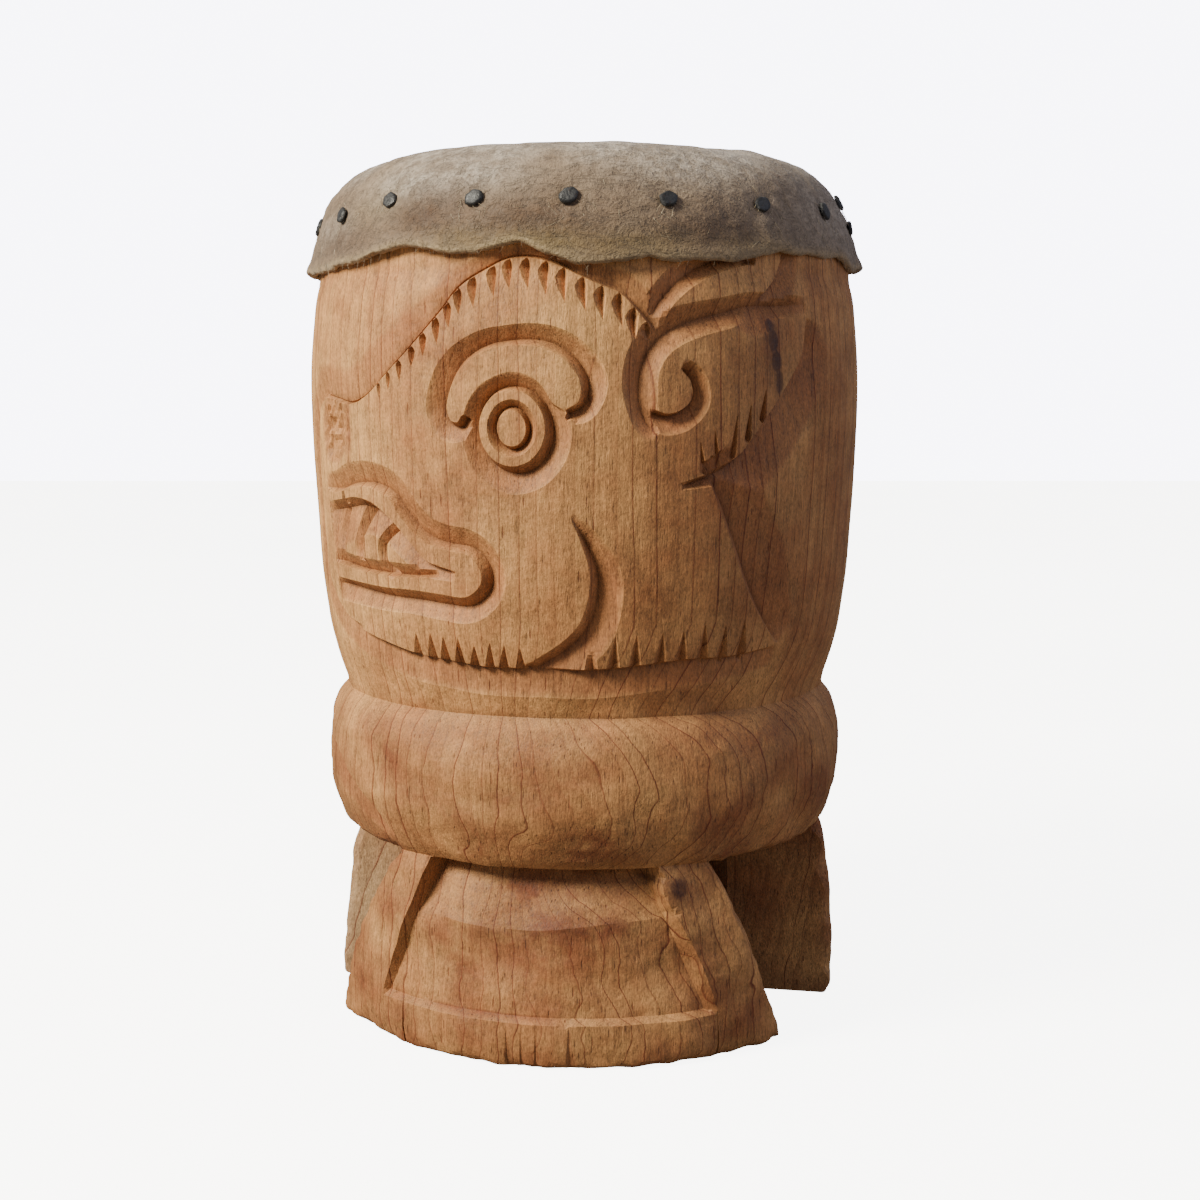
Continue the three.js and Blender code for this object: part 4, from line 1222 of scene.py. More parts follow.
class Nodes:
    """A short way to write a shader's nodes."""

    def __init__(self, tree: NodeTree) -> None:
        """Starts on an empty tree."""
        self.tree = tree
        tree.nodes.clear()

    def feed(self, node: Node, values: Values) -> Node:
        """Gives a node's inputs, by name or number, constants or other nodes' outputs."""
        for key, value in values.items():
            if isinstance(value, NodeSocket):
                self.tree.links.new(value, node.inputs[key])
            else:
                node.inputs[key].default_value = value
        return node

    def add(self, kind: str, values: Values | None = None, **settings: object) -> Node:
        """Adds a node, sets its properties, and feeds its inputs.

        Args:
            kind: the node's type without its "ShaderNode" prefix.
            values: for an input's name or number, a constant or another node's output.
            **settings: the node's own properties.

        Returns:
            The node.
        """
        node = self.tree.nodes.new("ShaderNode" + kind)
        for key, value in settings.items():
            setattr(node, key, value)
        return self.feed(node, values or {})

    def math(self, operation: str, a: object, b: object = 0.0, c: object = 0.0,
             clamp: bool = False) -> NodeSocket:
        """One step of arithmetic."""
        return self.add("Math", {0: a, 1: b, 2: c}, operation=operation, use_clamp=clamp).outputs[0]

    def times(self, a: object, b: object) -> NodeSocket:
        """A product."""
        return self.math("MULTIPLY", a, b)

    def mix(self, share: object, a: object, b: object, blend: str = "MIX") -> NodeSocket:
        """Two colours mixed by a share."""
        return self.add("Mix", {0: share, 6: a, 7: b}, data_type="RGBA", blend_type=blend).outputs[2]

    def layered(self, colour: object, layers: list[tuple[object, object]]) -> NodeSocket:
        """A colour with others laid over it in turn, each by its share."""
        for share, over in layers:
            colour = self.mix(share, colour, over)
        return colour

    def toned(self, colour: object, tone: object) -> NodeSocket:
        """A colour made lighter or darker by a factor."""
        grey = self.add("CombineColor", {0: tone, 1: tone, 2: tone}).outputs[0]
        return self.mix(1.0, colour, grey, "MULTIPLY")

    def spread(self, value: object, low: float, high: float, new_low: float = 0.0, new_high: float = 1.0,
               smooth: bool = True) -> NodeSocket:
        """A value's range moved to another, held at its ends."""
        values = {0: value, 1: low, 2: high, 3: new_low, 4: new_high}
        kind = "SMOOTHSTEP" if smooth else "LINEAR"
        return self.add("MapRange", values, interpolation_type=kind).outputs[0]

    def noise(self, vector: object, scale: object, detail: float = 2.0, rough: float = 0.5,
              bend: float = 0.0) -> NodeSocket:
        """Noise of a scale in cycles a metre."""
        values = {"Vector": vector, "Scale": scale, "Detail": detail, "Roughness": rough, "Distortion": bend}
        return self.add("TexNoise", values).outputs["Fac"]

    def scaled(self, vector: object, scale: Triple, turn: Triple = (0.0, 0.0, 0.0)) -> NodeSocket:
        """Coordinates turned and then stretched."""
        return self.add("Mapping", {"Vector": vector, "Scale": scale, "Rotation": turn},
                        vector_type="POINT").outputs[0]

    def place(self) -> NodeSocket:
        """Coordinates in the object's own space, in metres."""
        return self.add("TexCoord").outputs["Object"]

    def stored(self, name: str) -> NodeSocket:
        """A number kept on the mesh."""
        return self.add("Attribute", attribute_name=name).outputs["Fac"]

    def masks(self) -> list[NodeSocket]:
        """The four channels of the mesh's marks."""
        marks = self.add("Attribute", attribute_name="marks").outputs
        return [*self.add("SeparateColor", {0: marks["Color"]}).outputs][:3] + [marks["Alpha"]]

    def group(self, tree: NodeTree, values: dict[str, object]) -> Node:
        """A node group placed with its own values."""
        return self.feed(self.add("Group", node_tree=tree), values)

    def bump(self, height: object, distance: float, strength: float, under: object = None) -> NodeSocket:
        """A bump of a height in metres, over another normal where one is given."""
        values = {"Height": height, "Distance": distance, "Strength": strength}
        return self.add("Bump", values if under is None else {**values, "Normal": under}).outputs[0]


def new_group(name: str, inputs: dict[str, str], outputs: list[str]) -> tuple[Nodes, object]:
    """An empty shader group with named inputs and outputs.

    Args:
        name: the group's name.
        inputs: socket names and their kinds, such as "Float".
        outputs: names of the numbers that it puts out.

    Returns:
        A writer for its nodes, and its inputs as another node's outputs.
    """
    tree = bpy.data.node_groups.new(name, "ShaderNodeTree")
    nodes = Nodes(tree)
    for label, kind in inputs.items():
        tree.interface.new_socket(name=label, in_out="INPUT", socket_type="NodeSocket" + kind)
    for label in outputs:
        tree.interface.new_socket(name=label, in_out="OUTPUT", socket_type="NodeSocketFloat")
    return nodes, tree.nodes.new("NodeGroupInput").outputs


def close_group(nodes: Nodes, results: dict[str, NodeSocket]) -> NodeTree:
    """Links a group's results to its outputs and gives the group."""
    nodes.feed(nodes.tree.nodes.new("NodeGroupOutput"), results)
    return nodes.tree


class SharedEffects:
    """The node groups that more than one finish uses."""

    def __init__(self) -> None:
        """Builds each group once."""
        self.mottle = self._mottle()
        self.fibres = self._fibres()
        self.flecks = self._flecks()

    def _mottle(self) -> NodeTree:
        """Cloudy variation: noise of two sizes, brought to a contrast about a half."""
        inputs = {"Vector": "Vector", "Scale": "Float", "Contrast": "Float"}
        nodes, given = new_group("mottle", inputs, ["Value"])
        wide = nodes.noise(given["Vector"], given["Scale"], 4.0, 0.55)
        fine = nodes.noise(given["Vector"], nodes.times(given["Scale"], 4.3), 3.0, 0.6)
        both = nodes.math("MULTIPLY_ADD", fine, 0.35, nodes.times(wide, 0.65))
        off = nodes.times(nodes.math("SUBTRACT", both, 0.5), given["Contrast"])
        return close_group(nodes, {"Value": nodes.math("ADD", off, 0.5, clamp=True)})

    def _fibres(self) -> NodeTree:
        """Streaks along Z: two noises stretched along the fibres, one fine and one finer."""
        nodes, given = new_group("fibres", {"Vector": "Vector", "Scale": "Float"}, ["Value"])
        long, longer = (nodes.scaled(given["Vector"], (1.0, 1.0, upright)) for upright in (0.045, 0.11))
        wide = nodes.noise(long, given["Scale"], 3.0, 0.62)
        fine = nodes.noise(longer, nodes.times(given["Scale"], 2.7), 2.0, 0.5)
        return close_group(nodes, {"Value": nodes.math("MULTIPLY_ADD", fine, 0.4, nodes.times(wide, 0.6))})

    def _flecks(self) -> NodeTree:
        """Scattered dashes or dots: cells whose centre is near, kept only in a share of the cells."""
        inputs = {"Vector": "Vector", "Scale": "Float", "Size": "Float", "Share": "Float"}
        nodes, given = new_group("flecks", inputs, ["Mask"])
        cells = nodes.add("TexVoronoi", {"Vector": given["Vector"], "Scale": given["Scale"]}).outputs
        ratio = nodes.math("DIVIDE", cells["Distance"], given["Size"])
        near = nodes.math("SUBTRACT", 1.0, nodes.spread(ratio, 0.55, 1.0))
        chance = nodes.add("SeparateColor", {0: cells["Color"]}).outputs[0]
        chosen = nodes.math("LESS_THAN", chance, given["Share"])
        return close_group(nodes, {"Mask": nodes.times(near, chosen)})

    def cloud(self, nodes: Nodes, place: NodeSocket, scale: float, contrast: float = 3.0) -> NodeSocket:
        """The mottle placed in a material."""
        return nodes.group(self.mottle, {"Vector": place, "Scale": scale, "Contrast": contrast}).outputs[0]

    def scatter(self, nodes: Nodes, place: NodeSocket, scale: float, size: float, share: float) -> NodeSocket:
        """The flecks placed in a material."""
        values = {"Vector": place, "Scale": scale, "Size": size, "Share": share}
        return nodes.group(self.flecks, values).outputs[0]


def new_material(name: str) -> tuple[Material, Nodes, Node]:
    """A material with its Principled shader linked to its output."""
    material = bpy.data.materials.new(name)
    material.use_nodes = True
    nodes = Nodes(material.node_tree)
    shader = nodes.add("BsdfPrincipled")
    end = nodes.add("OutputMaterial")
    nodes.tree.links.new(shader.outputs[0], end.inputs[0])
    return material, nodes, shader


@dataclass(frozen=True)
class WoodFinish:
    """Bare softwood: warm, with thin red-brown late wood, resin dashes, knots and worn grey parts, and
    painted shade in carved creases and under the moulding.
    """

    effects: SharedEffects
    pale: Colour = linear(220, 168, 108)
    deep: Colour = linear(166, 110, 68)
    late: Colour = linear(104, 50, 27)
    red: Colour = linear(112, 56, 34)
    dark: Colour = linear(58, 28, 16)
    grey: Colour = linear(164, 136, 102)
    cut: Colour = linear(166, 108, 68)
    fibre_scale: float = 620.0

    def growth(self) -> NodeTree:
        """Rings from a ring count: a slow darkening and a thin late line, of uneven strength and place."""
        nodes, given = new_group("growth_rings", {"Ring": "Float"}, ["Line", "Band"])
        whole, within = (nodes.math(part, given["Ring"]) for part in ("FLOOR", "FRACT"))
        looped = nodes.math("MODULO", nodes.math("ADD", whole, 10.0 * RINGS_ROUND), float(RINGS_ROUND))
        chance, other = (nodes.add("TexWhiteNoise", {"W": seed}, noise_dimensions="1D").outputs["Value"]
                         for seed in (looped, nodes.math("ADD", looped, 0.4)))
        place = nodes.spread(other, 0.0, 1.0, 0.45, 0.93, smooth=False)
        before = nodes.math("SUBTRACT", place, within)
        rise = nodes.spread(before, 0.0, 0.16, 1.0, 0.0)
        fall = nodes.spread(before, -0.035, 0.0)
        strength = nodes.spread(chance, 0.30, 0.75, 0.15, 1.0)
        line = nodes.times(nodes.times(nodes.math("POWER", rise, 3.0), fall), strength)
        band = nodes.times(nodes.times(nodes.spread(before, 0.0, 0.8, 1.0, 0.0), fall), other)
        return close_group(nodes, {"Line": line, "Band": band})

    def build(self) -> Material:
        """The wood's material, which reads the mesh's ring count and its marks."""
        material, nodes, shader = new_material("softwood")
        place = nodes.place()
        reddened, darkened, greyed, cut = nodes.masks()
        rings = nodes.group(self.growth(), {"Ring": nodes.stored("ring")}).outputs
        wide = self.effects.cloud(nodes, place, 12.0)
        small = self.effects.cloud(nodes, place, 60.0)
        fibre = nodes.group(self.effects.fibres, {"Vector": place, "Scale": self.fibre_scale}).outputs[0]
        stretched = nodes.scaled(place, (1.0, 1.0, 0.13))
        dashes = self.effects.scatter(nodes, stretched, 300.0, 0.16, 0.34)
        specks = self.effects.scatter(nodes, stretched, 600.0, 0.26, 0.30)
        slits = self.effects.scatter(nodes, nodes.scaled(place, (1.0, 1.0, 0.045)), 120.0, 0.045, 0.5)

        # the red marks are the wood's reddish colour, and painted shade on the front foot's scoop and ledge
        # and on the neck
        reddish = nodes.times(reddened, nodes.spread(small, 0.1, 0.7, 0.55, 1.0))
        weathered = nodes.times(greyed, nodes.spread(fibre, 0.3, 0.6, 0.7, 1.0))
        faded = nodes.times(nodes.spread(small, 0.0, 0.8, 0.35, 0.95), 0.8)
        faded = nodes.math("MULTIPLY_ADD", reddened, 0.9, faded, clamp=True)
        colour = nodes.layered(nodes.mix(wide, self.deep, self.pale), [
            (nodes.times(cut, 0.6), self.cut), (nodes.times(reddish, 0.92), self.red), (weathered, self.grey),
            (nodes.times(rings["Band"], 0.26), self.late), (nodes.times(rings["Line"], faded), self.late),
        ])
        sandy = nodes.noise(nodes.scaled(place, (1.0, 1.0, 0.35)), 1500.0, 2.0, 0.7)
        mixed = nodes.math("MULTIPLY_ADD", sandy, 0.9, nodes.math("MULTIPLY_ADD", small, 0.25, fibre))
        colour = nodes.toned(colour, nodes.spread(mixed, 0.74, 1.42, 0.40, 1.46, smooth=False))
        # the dark marks are dark spots of the wood, such as a knot and a streak, and painted shadow under the
        # moulding on the front foot
        knots = nodes.times(darkened, nodes.spread(small, 0.2, 0.75, 0.55, 1.0))
        ragged = nodes.math("ADD", darkened, nodes.times(nodes.math("SUBTRACT", fibre, 0.5), 0.9))
        knots = nodes.times(nodes.math("ADD", knots, nodes.spread(ragged, 0.62, 0.8)), 0.5)
        resin = nodes.math("MAXIMUM", nodes.times(dashes, 0.8), slits)
        peppered = nodes.math("MULTIPLY_ADD", reddened, 0.5, 0.3)
        # dirt is painted shade in carved creases and at the feet of walls
        colour = nodes.layered(colour, [
            (nodes.times(knots, 0.95), self.dark), (nodes.times(nodes.stored("dirt"), 0.42), self.dark),
            (nodes.times(resin, 0.8), self.late), (nodes.times(specks, peppered), self.dark),
        ])

        rough = nodes.spread(fibre, 0.3, 0.7, 0.55, 0.78, smooth=False)
        pitted = nodes.math("ADD", resin, nodes.times(specks, 0.5))
        fine = nodes.math("MULTIPLY_ADD", sandy, 0.5, fibre)
        grain = nodes.bump(nodes.math("SUBTRACT", fine, nodes.times(pitted, 0.8)), 0.0006, 0.6)
        ridges = nodes.bump(rings["Line"], 0.00015, 0.35, under=grain)
        nodes.feed(shader, {
            "Base Color": colour, "Roughness": nodes.math("SUBTRACT", rough, nodes.times(knots, 0.15)),
            "Specular IOR Level": 0.35, "Normal": nodes.bump(small, 0.0011, 0.35, under=ridges),
        })
        return material


@dataclass(frozen=True)
class HideFinish:
    """Raw scraped hide: grey-beige, whitish where it is dry, with painted light on its right side, brown and
    yellow-green stains, and fine creases darkened with painted shade.
    """

    effects: SharedEffects
    base: Colour = linear(142, 122, 100)
    dusky: Colour = linear(112, 92, 74)
    pale: Colour = linear(196, 186, 174)
    brown: Colour = linear(82, 58, 40)
    green: Colour = linear(118, 98, 50)
    lip: Colour = linear(176, 154, 120)
    speck: Colour = linear(48, 38, 30)

    def build(self) -> Material:
        """The hide's material, which reads its stains from the mesh."""
        material, nodes, shader = new_material("raw_hide")
        place = nodes.place()
        whitened, browned, greened, lip = nodes.masks()
        wide = self.effects.cloud(nodes, place, 20.0, 3.4)
        fine = self.effects.cloud(nodes, place, 170.0)
        pores = self.effects.scatter(nodes, place, 420.0, 0.16, 0.05)
        hairs = nodes.noise(nodes.scaled(place, (1.0, 0.22, 1.0), (0.0, 0.0, 0.5)), 900.0, 3.0, 0.65, 0.8)
        lines = nodes.noise(nodes.scaled(place, (0.35, 1.0, 1.0), (0.35, 0.0, 0.25)), 130.0, 4.0, 0.62, 1.6)
        from_line = nodes.math("ABSOLUTE", nodes.math("SUBTRACT", lines, 0.5))
        crease = nodes.math("SUBTRACT", 1.0, nodes.spread(from_line, 0.0, 0.035))

        # whitened is dry whitish hide, and painted light on its right side
        white = nodes.times(whitened, nodes.spread(fine, 0.15, 0.8, 0.35, 1.0))
        brown = nodes.times(browned, nodes.spread(wide, 0.1, 0.8, 0.6, 1.0))
        colour = nodes.layered(nodes.mix(wide, self.dusky, self.base), [
            (white, self.pale), (brown, self.brown), (nodes.times(greened, 0.75), self.green),
            (nodes.times(lip, 0.6), self.lip),
        ])
        tone = nodes.math("MULTIPLY_ADD", fine, 0.4, hairs)
        colour = nodes.toned(colour, nodes.spread(tone, 0.42, 0.98, 0.70, 1.24, smooth=False))
        # painted shade along the fine creases, and the hide's dark pores
        dark_lines = [(nodes.times(crease, 0.36), self.speck), (nodes.times(pores, 0.6), self.speck)]
        colour = nodes.layered(colour, dark_lines)

        nap = nodes.bump(hairs, 0.0005, 0.6)
        folded = nodes.bump(nodes.times(crease, -1.0), 0.0005, 0.5, under=nap)
        nodes.feed(shader, {
            "Base Color": colour, "Roughness": nodes.spread(fine, 0.2, 0.8, 0.62, 0.82),
            "Specular IOR Level": 0.4, "Sheen Weight": 0.12, "Sheen Roughness": 0.5,
            "Normal": nodes.bump(fine, 0.0014, 0.5, under=folded),
        })
        return material


@dataclass(frozen=True)
class IronFinish:
    """Black forged iron, a little brighter and browner in patches."""

    effects: SharedEffects
    black: Colour = linear(38, 39, 41)
    worn: Colour = linear(74, 74, 76)
    rust: Colour = linear(74, 54, 42)

    def build(self) -> Material:
        """The nails' material."""
        material, nodes, shader = new_material("forged_iron")
        place = nodes.place()
        cloud = self.effects.cloud(nodes, place, 260.0, 2.6)
        spots = self.effects.scatter(nodes, place, 700.0, 0.4, 0.2)
        colour = nodes.mix(nodes.times(spots, 0.5), nodes.mix(cloud, self.black, self.worn), self.rust)
        nodes.feed(shader, {"Base Color": colour, "Roughness": nodes.spread(cloud, 0.2, 0.8, 0.38, 0.62),
                            "Metallic": 0.4, "Normal": nodes.bump(cloud, 0.0004, 0.7)})
        return material


@dataclass(frozen=True)
class HairFinish:
    """Short pale animal hair left on the hide."""

    effects: SharedEffects
    pale: Colour = linear(206, 194, 170)
    dull: Colour = linear(150, 132, 104)

    def build(self) -> Material:
        """The hairs' material."""
        material, nodes, shader = new_material("hide_hair")
        cloud = self.effects.cloud(nodes, nodes.place(), 90.0)
        nodes.feed(shader, {"Base Color": nodes.mix(cloud, self.dull, self.pale), "Roughness": 0.5})
        return material


# ---- pieces ----


@dataclass
class DrumBody:
    """The carved log as a finished piece."""

    log_shape: Log = field(default_factory=Log)
    grain: Grain = field(default_factory=Grain)
    marks: Marks = field(default_factory=Marks)

    def build(self, finish: WoodFinish) -> Object:
        """Makes the log, gives it its grain and marks, and dresses it."""
        data = self.log_shape.build()
        made = data.to_object("carved_log")
        rings = self.grain.rings(data.corner_arc, data.points[data.faces], data.base[data.faces])
        store(made.data, "ring", rings.ravel(), "CORNER")
        store(made.data, "marks", self.marks.colours(data.points, data.cut))
        # painted shade in creases and at the feet of carved walls
        store(made.data, "dirt", data.dirt)
        dress(made, finish.build(), "drum_body")
        return made


@dataclass(frozen=True)
class NailSeats:
    """Where the nails stand on the hide."""

    height: float = 427.0
    angles: Steps = (-80, -59, -42, -21.5, -3, 16, 37, 58.5, 79, 99, 118, 139, 158, 177, 197, 218, 239, 260,
                     78)
    lifts: Steps = (-3, -2, 2, 0, 0, -1, -1, 0, -4, 1, -2, 0, 2, -1, 1, -2, 0, 1, 9)

    def places(self) -> tuple[Array, Array]:
        """Angles in radians and heights of all the nails."""
        return np.radians(self.angles), self.height + np.array(self.lifts, float)


@dataclass
class HideCover:
    """The raw hide stretched over the mouth: one closed sheet with a thick trimmed lip."""

    top: float = 458.0
    centre: Pair = (96.8, 395.0)
    size: Pair = (51.0, 63.0)
    power: float = 2.28
    thickness: float = 3.2
    edge: Line = (
        (-165, 402), (-150, 401), (-140, 398), (-124, 399.5), (-112, 401), (-96, 399.5), (-81, 401),
        (-70, 400), (-62, 400.5), (-56, 401.5), (-46, 403), (-41, 405.5), (-35, 407), (-29, 404.5),
        (-24, 403), (-17, 405), (-11, 407), (-7, 402), (-1, 397), (5, 398), (12, 400), (20, 399.5),
        (27, 400), (33, 401.5), (38, 405), (46, 405), (57, 406), (64, 406), (71, 402), (80, 403.5),
        (92, 403), (106, 400), (120, 399), (135, 402), (150, 404), (172, 401),
    )
    rows: int = 116
    columns: int = 420
    inner_rows: int = 30
    lip_rows: int = 7
    # The patch at arc 185 is painted light on the hide's right side, which faces away from the key light; the
    # others are dry whitish hide.
    white: Patches = (
        (-95, 436, 34, 12, 0.82), (-60, 440, 26, 10, 0.7), (-160, 418, 26, 9, 0.5), (60, 446, 50, 12, 0.6),
        (185, 426, 80, 20, 0.5),
    )
    brown: Patches = (
        (-80, 422, 34, 15, 1.0), (-145, 412, 40, 14, 0.8), (-30, 414, 38, 13, 1.0), (-110, 400, 60, 8, 0.5),
        (60, 412, 34, 9, 0.7), (110, 415, 22, 11, 0.2), (190, 415, 40, 12, 0.2), (-300, 415, 60, 12, 0.55),
        (360, 412, 50, 12, 0.45),
    )
    green: Patches = (
        (-24, 404, 34, 8, 0.8), (20, 404, 36, 7, 0.6), (-60, 408, 22, 6, 0.5), (-120, 428, 24, 10, 0.35),
        (90, 405, 30, 6, 0.4), (320, 405, 60, 8, 0.4),
    )
    curls: tuple[Triple, ...] = (
        (-84, 5.5, 3.0), (86, 5.0, 3.6), (66, 4.0, 1.2), (-128, 7, 2.0), (140, 7, 2.4),
    )
    seats: NailSeats = field(default_factory=NailSeats)

    def radius(self, height: Array) -> Array:
        """Outer radius of the rounded shoulder at heights: a superellipse."""
        up = np.clip((height - self.centre[1]) / self.size[1], 0, 1)
        return self.centre[0] + self.size[0] * (1 - up ** self.power) ** (1 / self.power)

    def edge_height(self, angle: Array) -> Array:
        """Height of the trimmed edge at angles in radians, round the drum."""
        degrees, heights = np.array(self.edge).T
        knots = np.append(degrees, degrees[0] + 360)
        turned = (np.degrees(angle) + 165) % 360 - 165
        return smooth_through(turned, knots, np.append(heights, heights[0]))

    def meridian(self) -> tuple[Array, Array, Array]:
        """The shoulder's outer section from the middle of the drumhead down past its edge.

        Returns:
            Lengths along it from the middle, radii and heights.
        """
        section = shoulder(np.linspace(np.pi / 2, 0, 500), self.centre, self.size, self.power)
        section = np.vstack([(0.0, self.top), section, (section[-1, 0], self.centre[1] - 20)])
        return lengths_along(section), section[:, 0], section[:, 1]

    def build(self, finish: HideFinish) -> Object:
        """Makes the hide as rows of rings, outside, round the lip and back up inside.

        Each ring lies at an even share of the section's length down to the edge, which wanders, so
        the rings wander with it. Normals come from differences between neighbouring rings.

        Args:
            finish: the hide's finish.

        Returns:
            The finished piece.
        """
        angle = np.linspace(-np.pi, np.pi, self.columns, endpoint=False)
        s, r, z = self.meridian()
        edge_length = np.interp(-self.edge_height(angle), -z[1:], s[1:])
        length = np.linspace(0, 1, self.rows + 1)[1:, None] ** 0.8 * edge_length
        section = np.stack([np.interp(length, s, r), np.interp(length, s, z)])
        slope = np.gradient(section, axis=1)
        normal = np.stack([-slope[1], slope[0]]) / (np.hypot(*slope) + 1e-9)
        from_edge = edge_length - length
        out = self.swell(np.broadcast_to(angle, length.shape), *section, from_edge)
        inner_out = out - self.thickness - 0.9 * np.exp(-from_edge / 3.0)
        inner_out = np.minimum(inner_out, out * 0.3 - self.thickness)
        outside, inside = section + normal * out, section + normal * inner_out
        lip = self.lip(outside[:, -1:], inside[:, -1:], angle)
        picked = np.unique(np.linspace(0, self.rows - 1, self.inner_rows).astype(int))[::-1]
        radius, height = np.concatenate([outside, lip, inside[:, picked]], axis=1)
        rings = on_log(angle * ARC_RADIUS, radius, height).reshape(-1, 3)
        ends = [(0, 0, height[0].mean()), (0, 0, height[-1].mean())]
        data = MeshData(points=np.vstack([rings, ends]), faces=ringed_faces(*radius.shape))
        made = data.to_object("raw_hide", 70.0)
        edge_share = np.exp(-np.concatenate([from_edge, 0 * lip[0], from_edge[picked]]) / 1.6)
        store(made.data, "marks", self.stains(data.points, np.append(edge_share, [0.0, 0.0])))
        dress(made, finish.build(), "drum_skin")
        return made

    def swell(self, angle: Array, radius: Array, height: Array, from_edge: Array) -> Array:
        """How far the hide stands off its even shape.

        Slow waves, a dent round each nail with a fold above and below it, an edge that stands loose,
        curled corners, and fine wrinkles on the shoulder.

        Args:
            angle: angles of the points in radians.
            radius: their radii.
            height: their heights.
            from_edge: their distances from the edge along the hide.

        Returns:
            Distances outwards.
        """
        points = on_log(angle * ARC_RADIUS, radius, height)
        near_rim = eased(radius, 70, 110)
        out = 0.7 * ripple(points, 60, 21) * near_rim + 0.35 * ripple(points, 22, 22) * near_rim
        out += 0.16 * ripple(points * np.array([0.5, 1.0, 1.0]), 6, 23) * near_rim
        out += 0.25 * ripple(points, 70, 24) * (1 - near_rim) - 0.3 * (1 - near_rim)
        for a, h in zip(*self.seats.places()):
            across = wrapped(angle - a, 2 * np.pi) * NAIL_RADIUS
            up = height - h
            out -= 1.5 * np.exp(-(across ** 2 + up ** 2) / 7.0 ** 2)
            out += 0.7 * np.exp(-(across / 2.4) ** 2 - ((up + 11) / 8.0) ** 2)
            out += 0.5 * np.exp(-(across / 2.0) ** 2 - ((up - 12) / 7.0) ** 2)
        waves = ripple(on_log(angle * ARC_RADIUS, EDGE_RADIUS, 0 * height), 34, 25)
        out += np.exp(-from_edge / 7.0) * (1.0 + 0.9 * waves)
        for a, wide, far in self.curls:
            away = np.degrees(wrapped(angle - np.radians(a), 2 * np.pi))
            out += far * np.exp(-(away / wide) ** 2) * np.exp(-from_edge / 9.0)
        return out + 0.5 * np.exp(-((from_edge - 2.2) / 2.0) ** 2)

    def lip(self, outer: Array, inner: Array, angle: Array) -> Array:
        """Rings round the edge: a half circle from the outer to the inner side, pushed down unevenly.

        Args:
            outer: radius and height of the outer side's last ring.
            inner: the same of the inner side's.
            angle: angles of the points in radians.

        Returns:
            Radii and heights of the rings.
        """
        t = np.linspace(0, np.pi, self.lip_rows + 2)[1:-1, None]
        points = on_log(angle * ARC_RADIUS, EDGE_RADIUS, 0 * angle)
        drop = 1.9 + 0.7 * ripple(points, 16, 26) + 0.4 * ripple(points, 5, 27)
        rings = (outer + inner) / 2 + (outer - inner) / 2 * np.cos(t)
        return rings - np.stack([0 * drop * t, drop * np.sin(t)])

    def stains(self, points: Array, lip: Array) -> Array:
        """The hide's whitish patches, partly painted light on its right side, its brown and green stains and
        its pale lip, as the channels of a colour.
        """
        arc = np.arctan2(points[:, 0], -points[:, 1]) * ARC_RADIUS
        height = points[:, 2]
        white, brown, green = (patched(spots, arc, height) for spots in (self.white, self.brown, self.green))
        dry_top = 0.74 * eased(height, 432, 456) * (0.6 + 0.4 * ripple(points, 40, 41))
        cloudy = 0.5 * np.clip(ripple(points, 46, 42) - 0.2, 0, 1) * (1 - eased(height, 425, 450))
        channels = [np.maximum(white, dry_top), np.maximum(brown, cloudy), green, lip]
        return np.clip(np.stack(channels, axis=1), 0, 1)


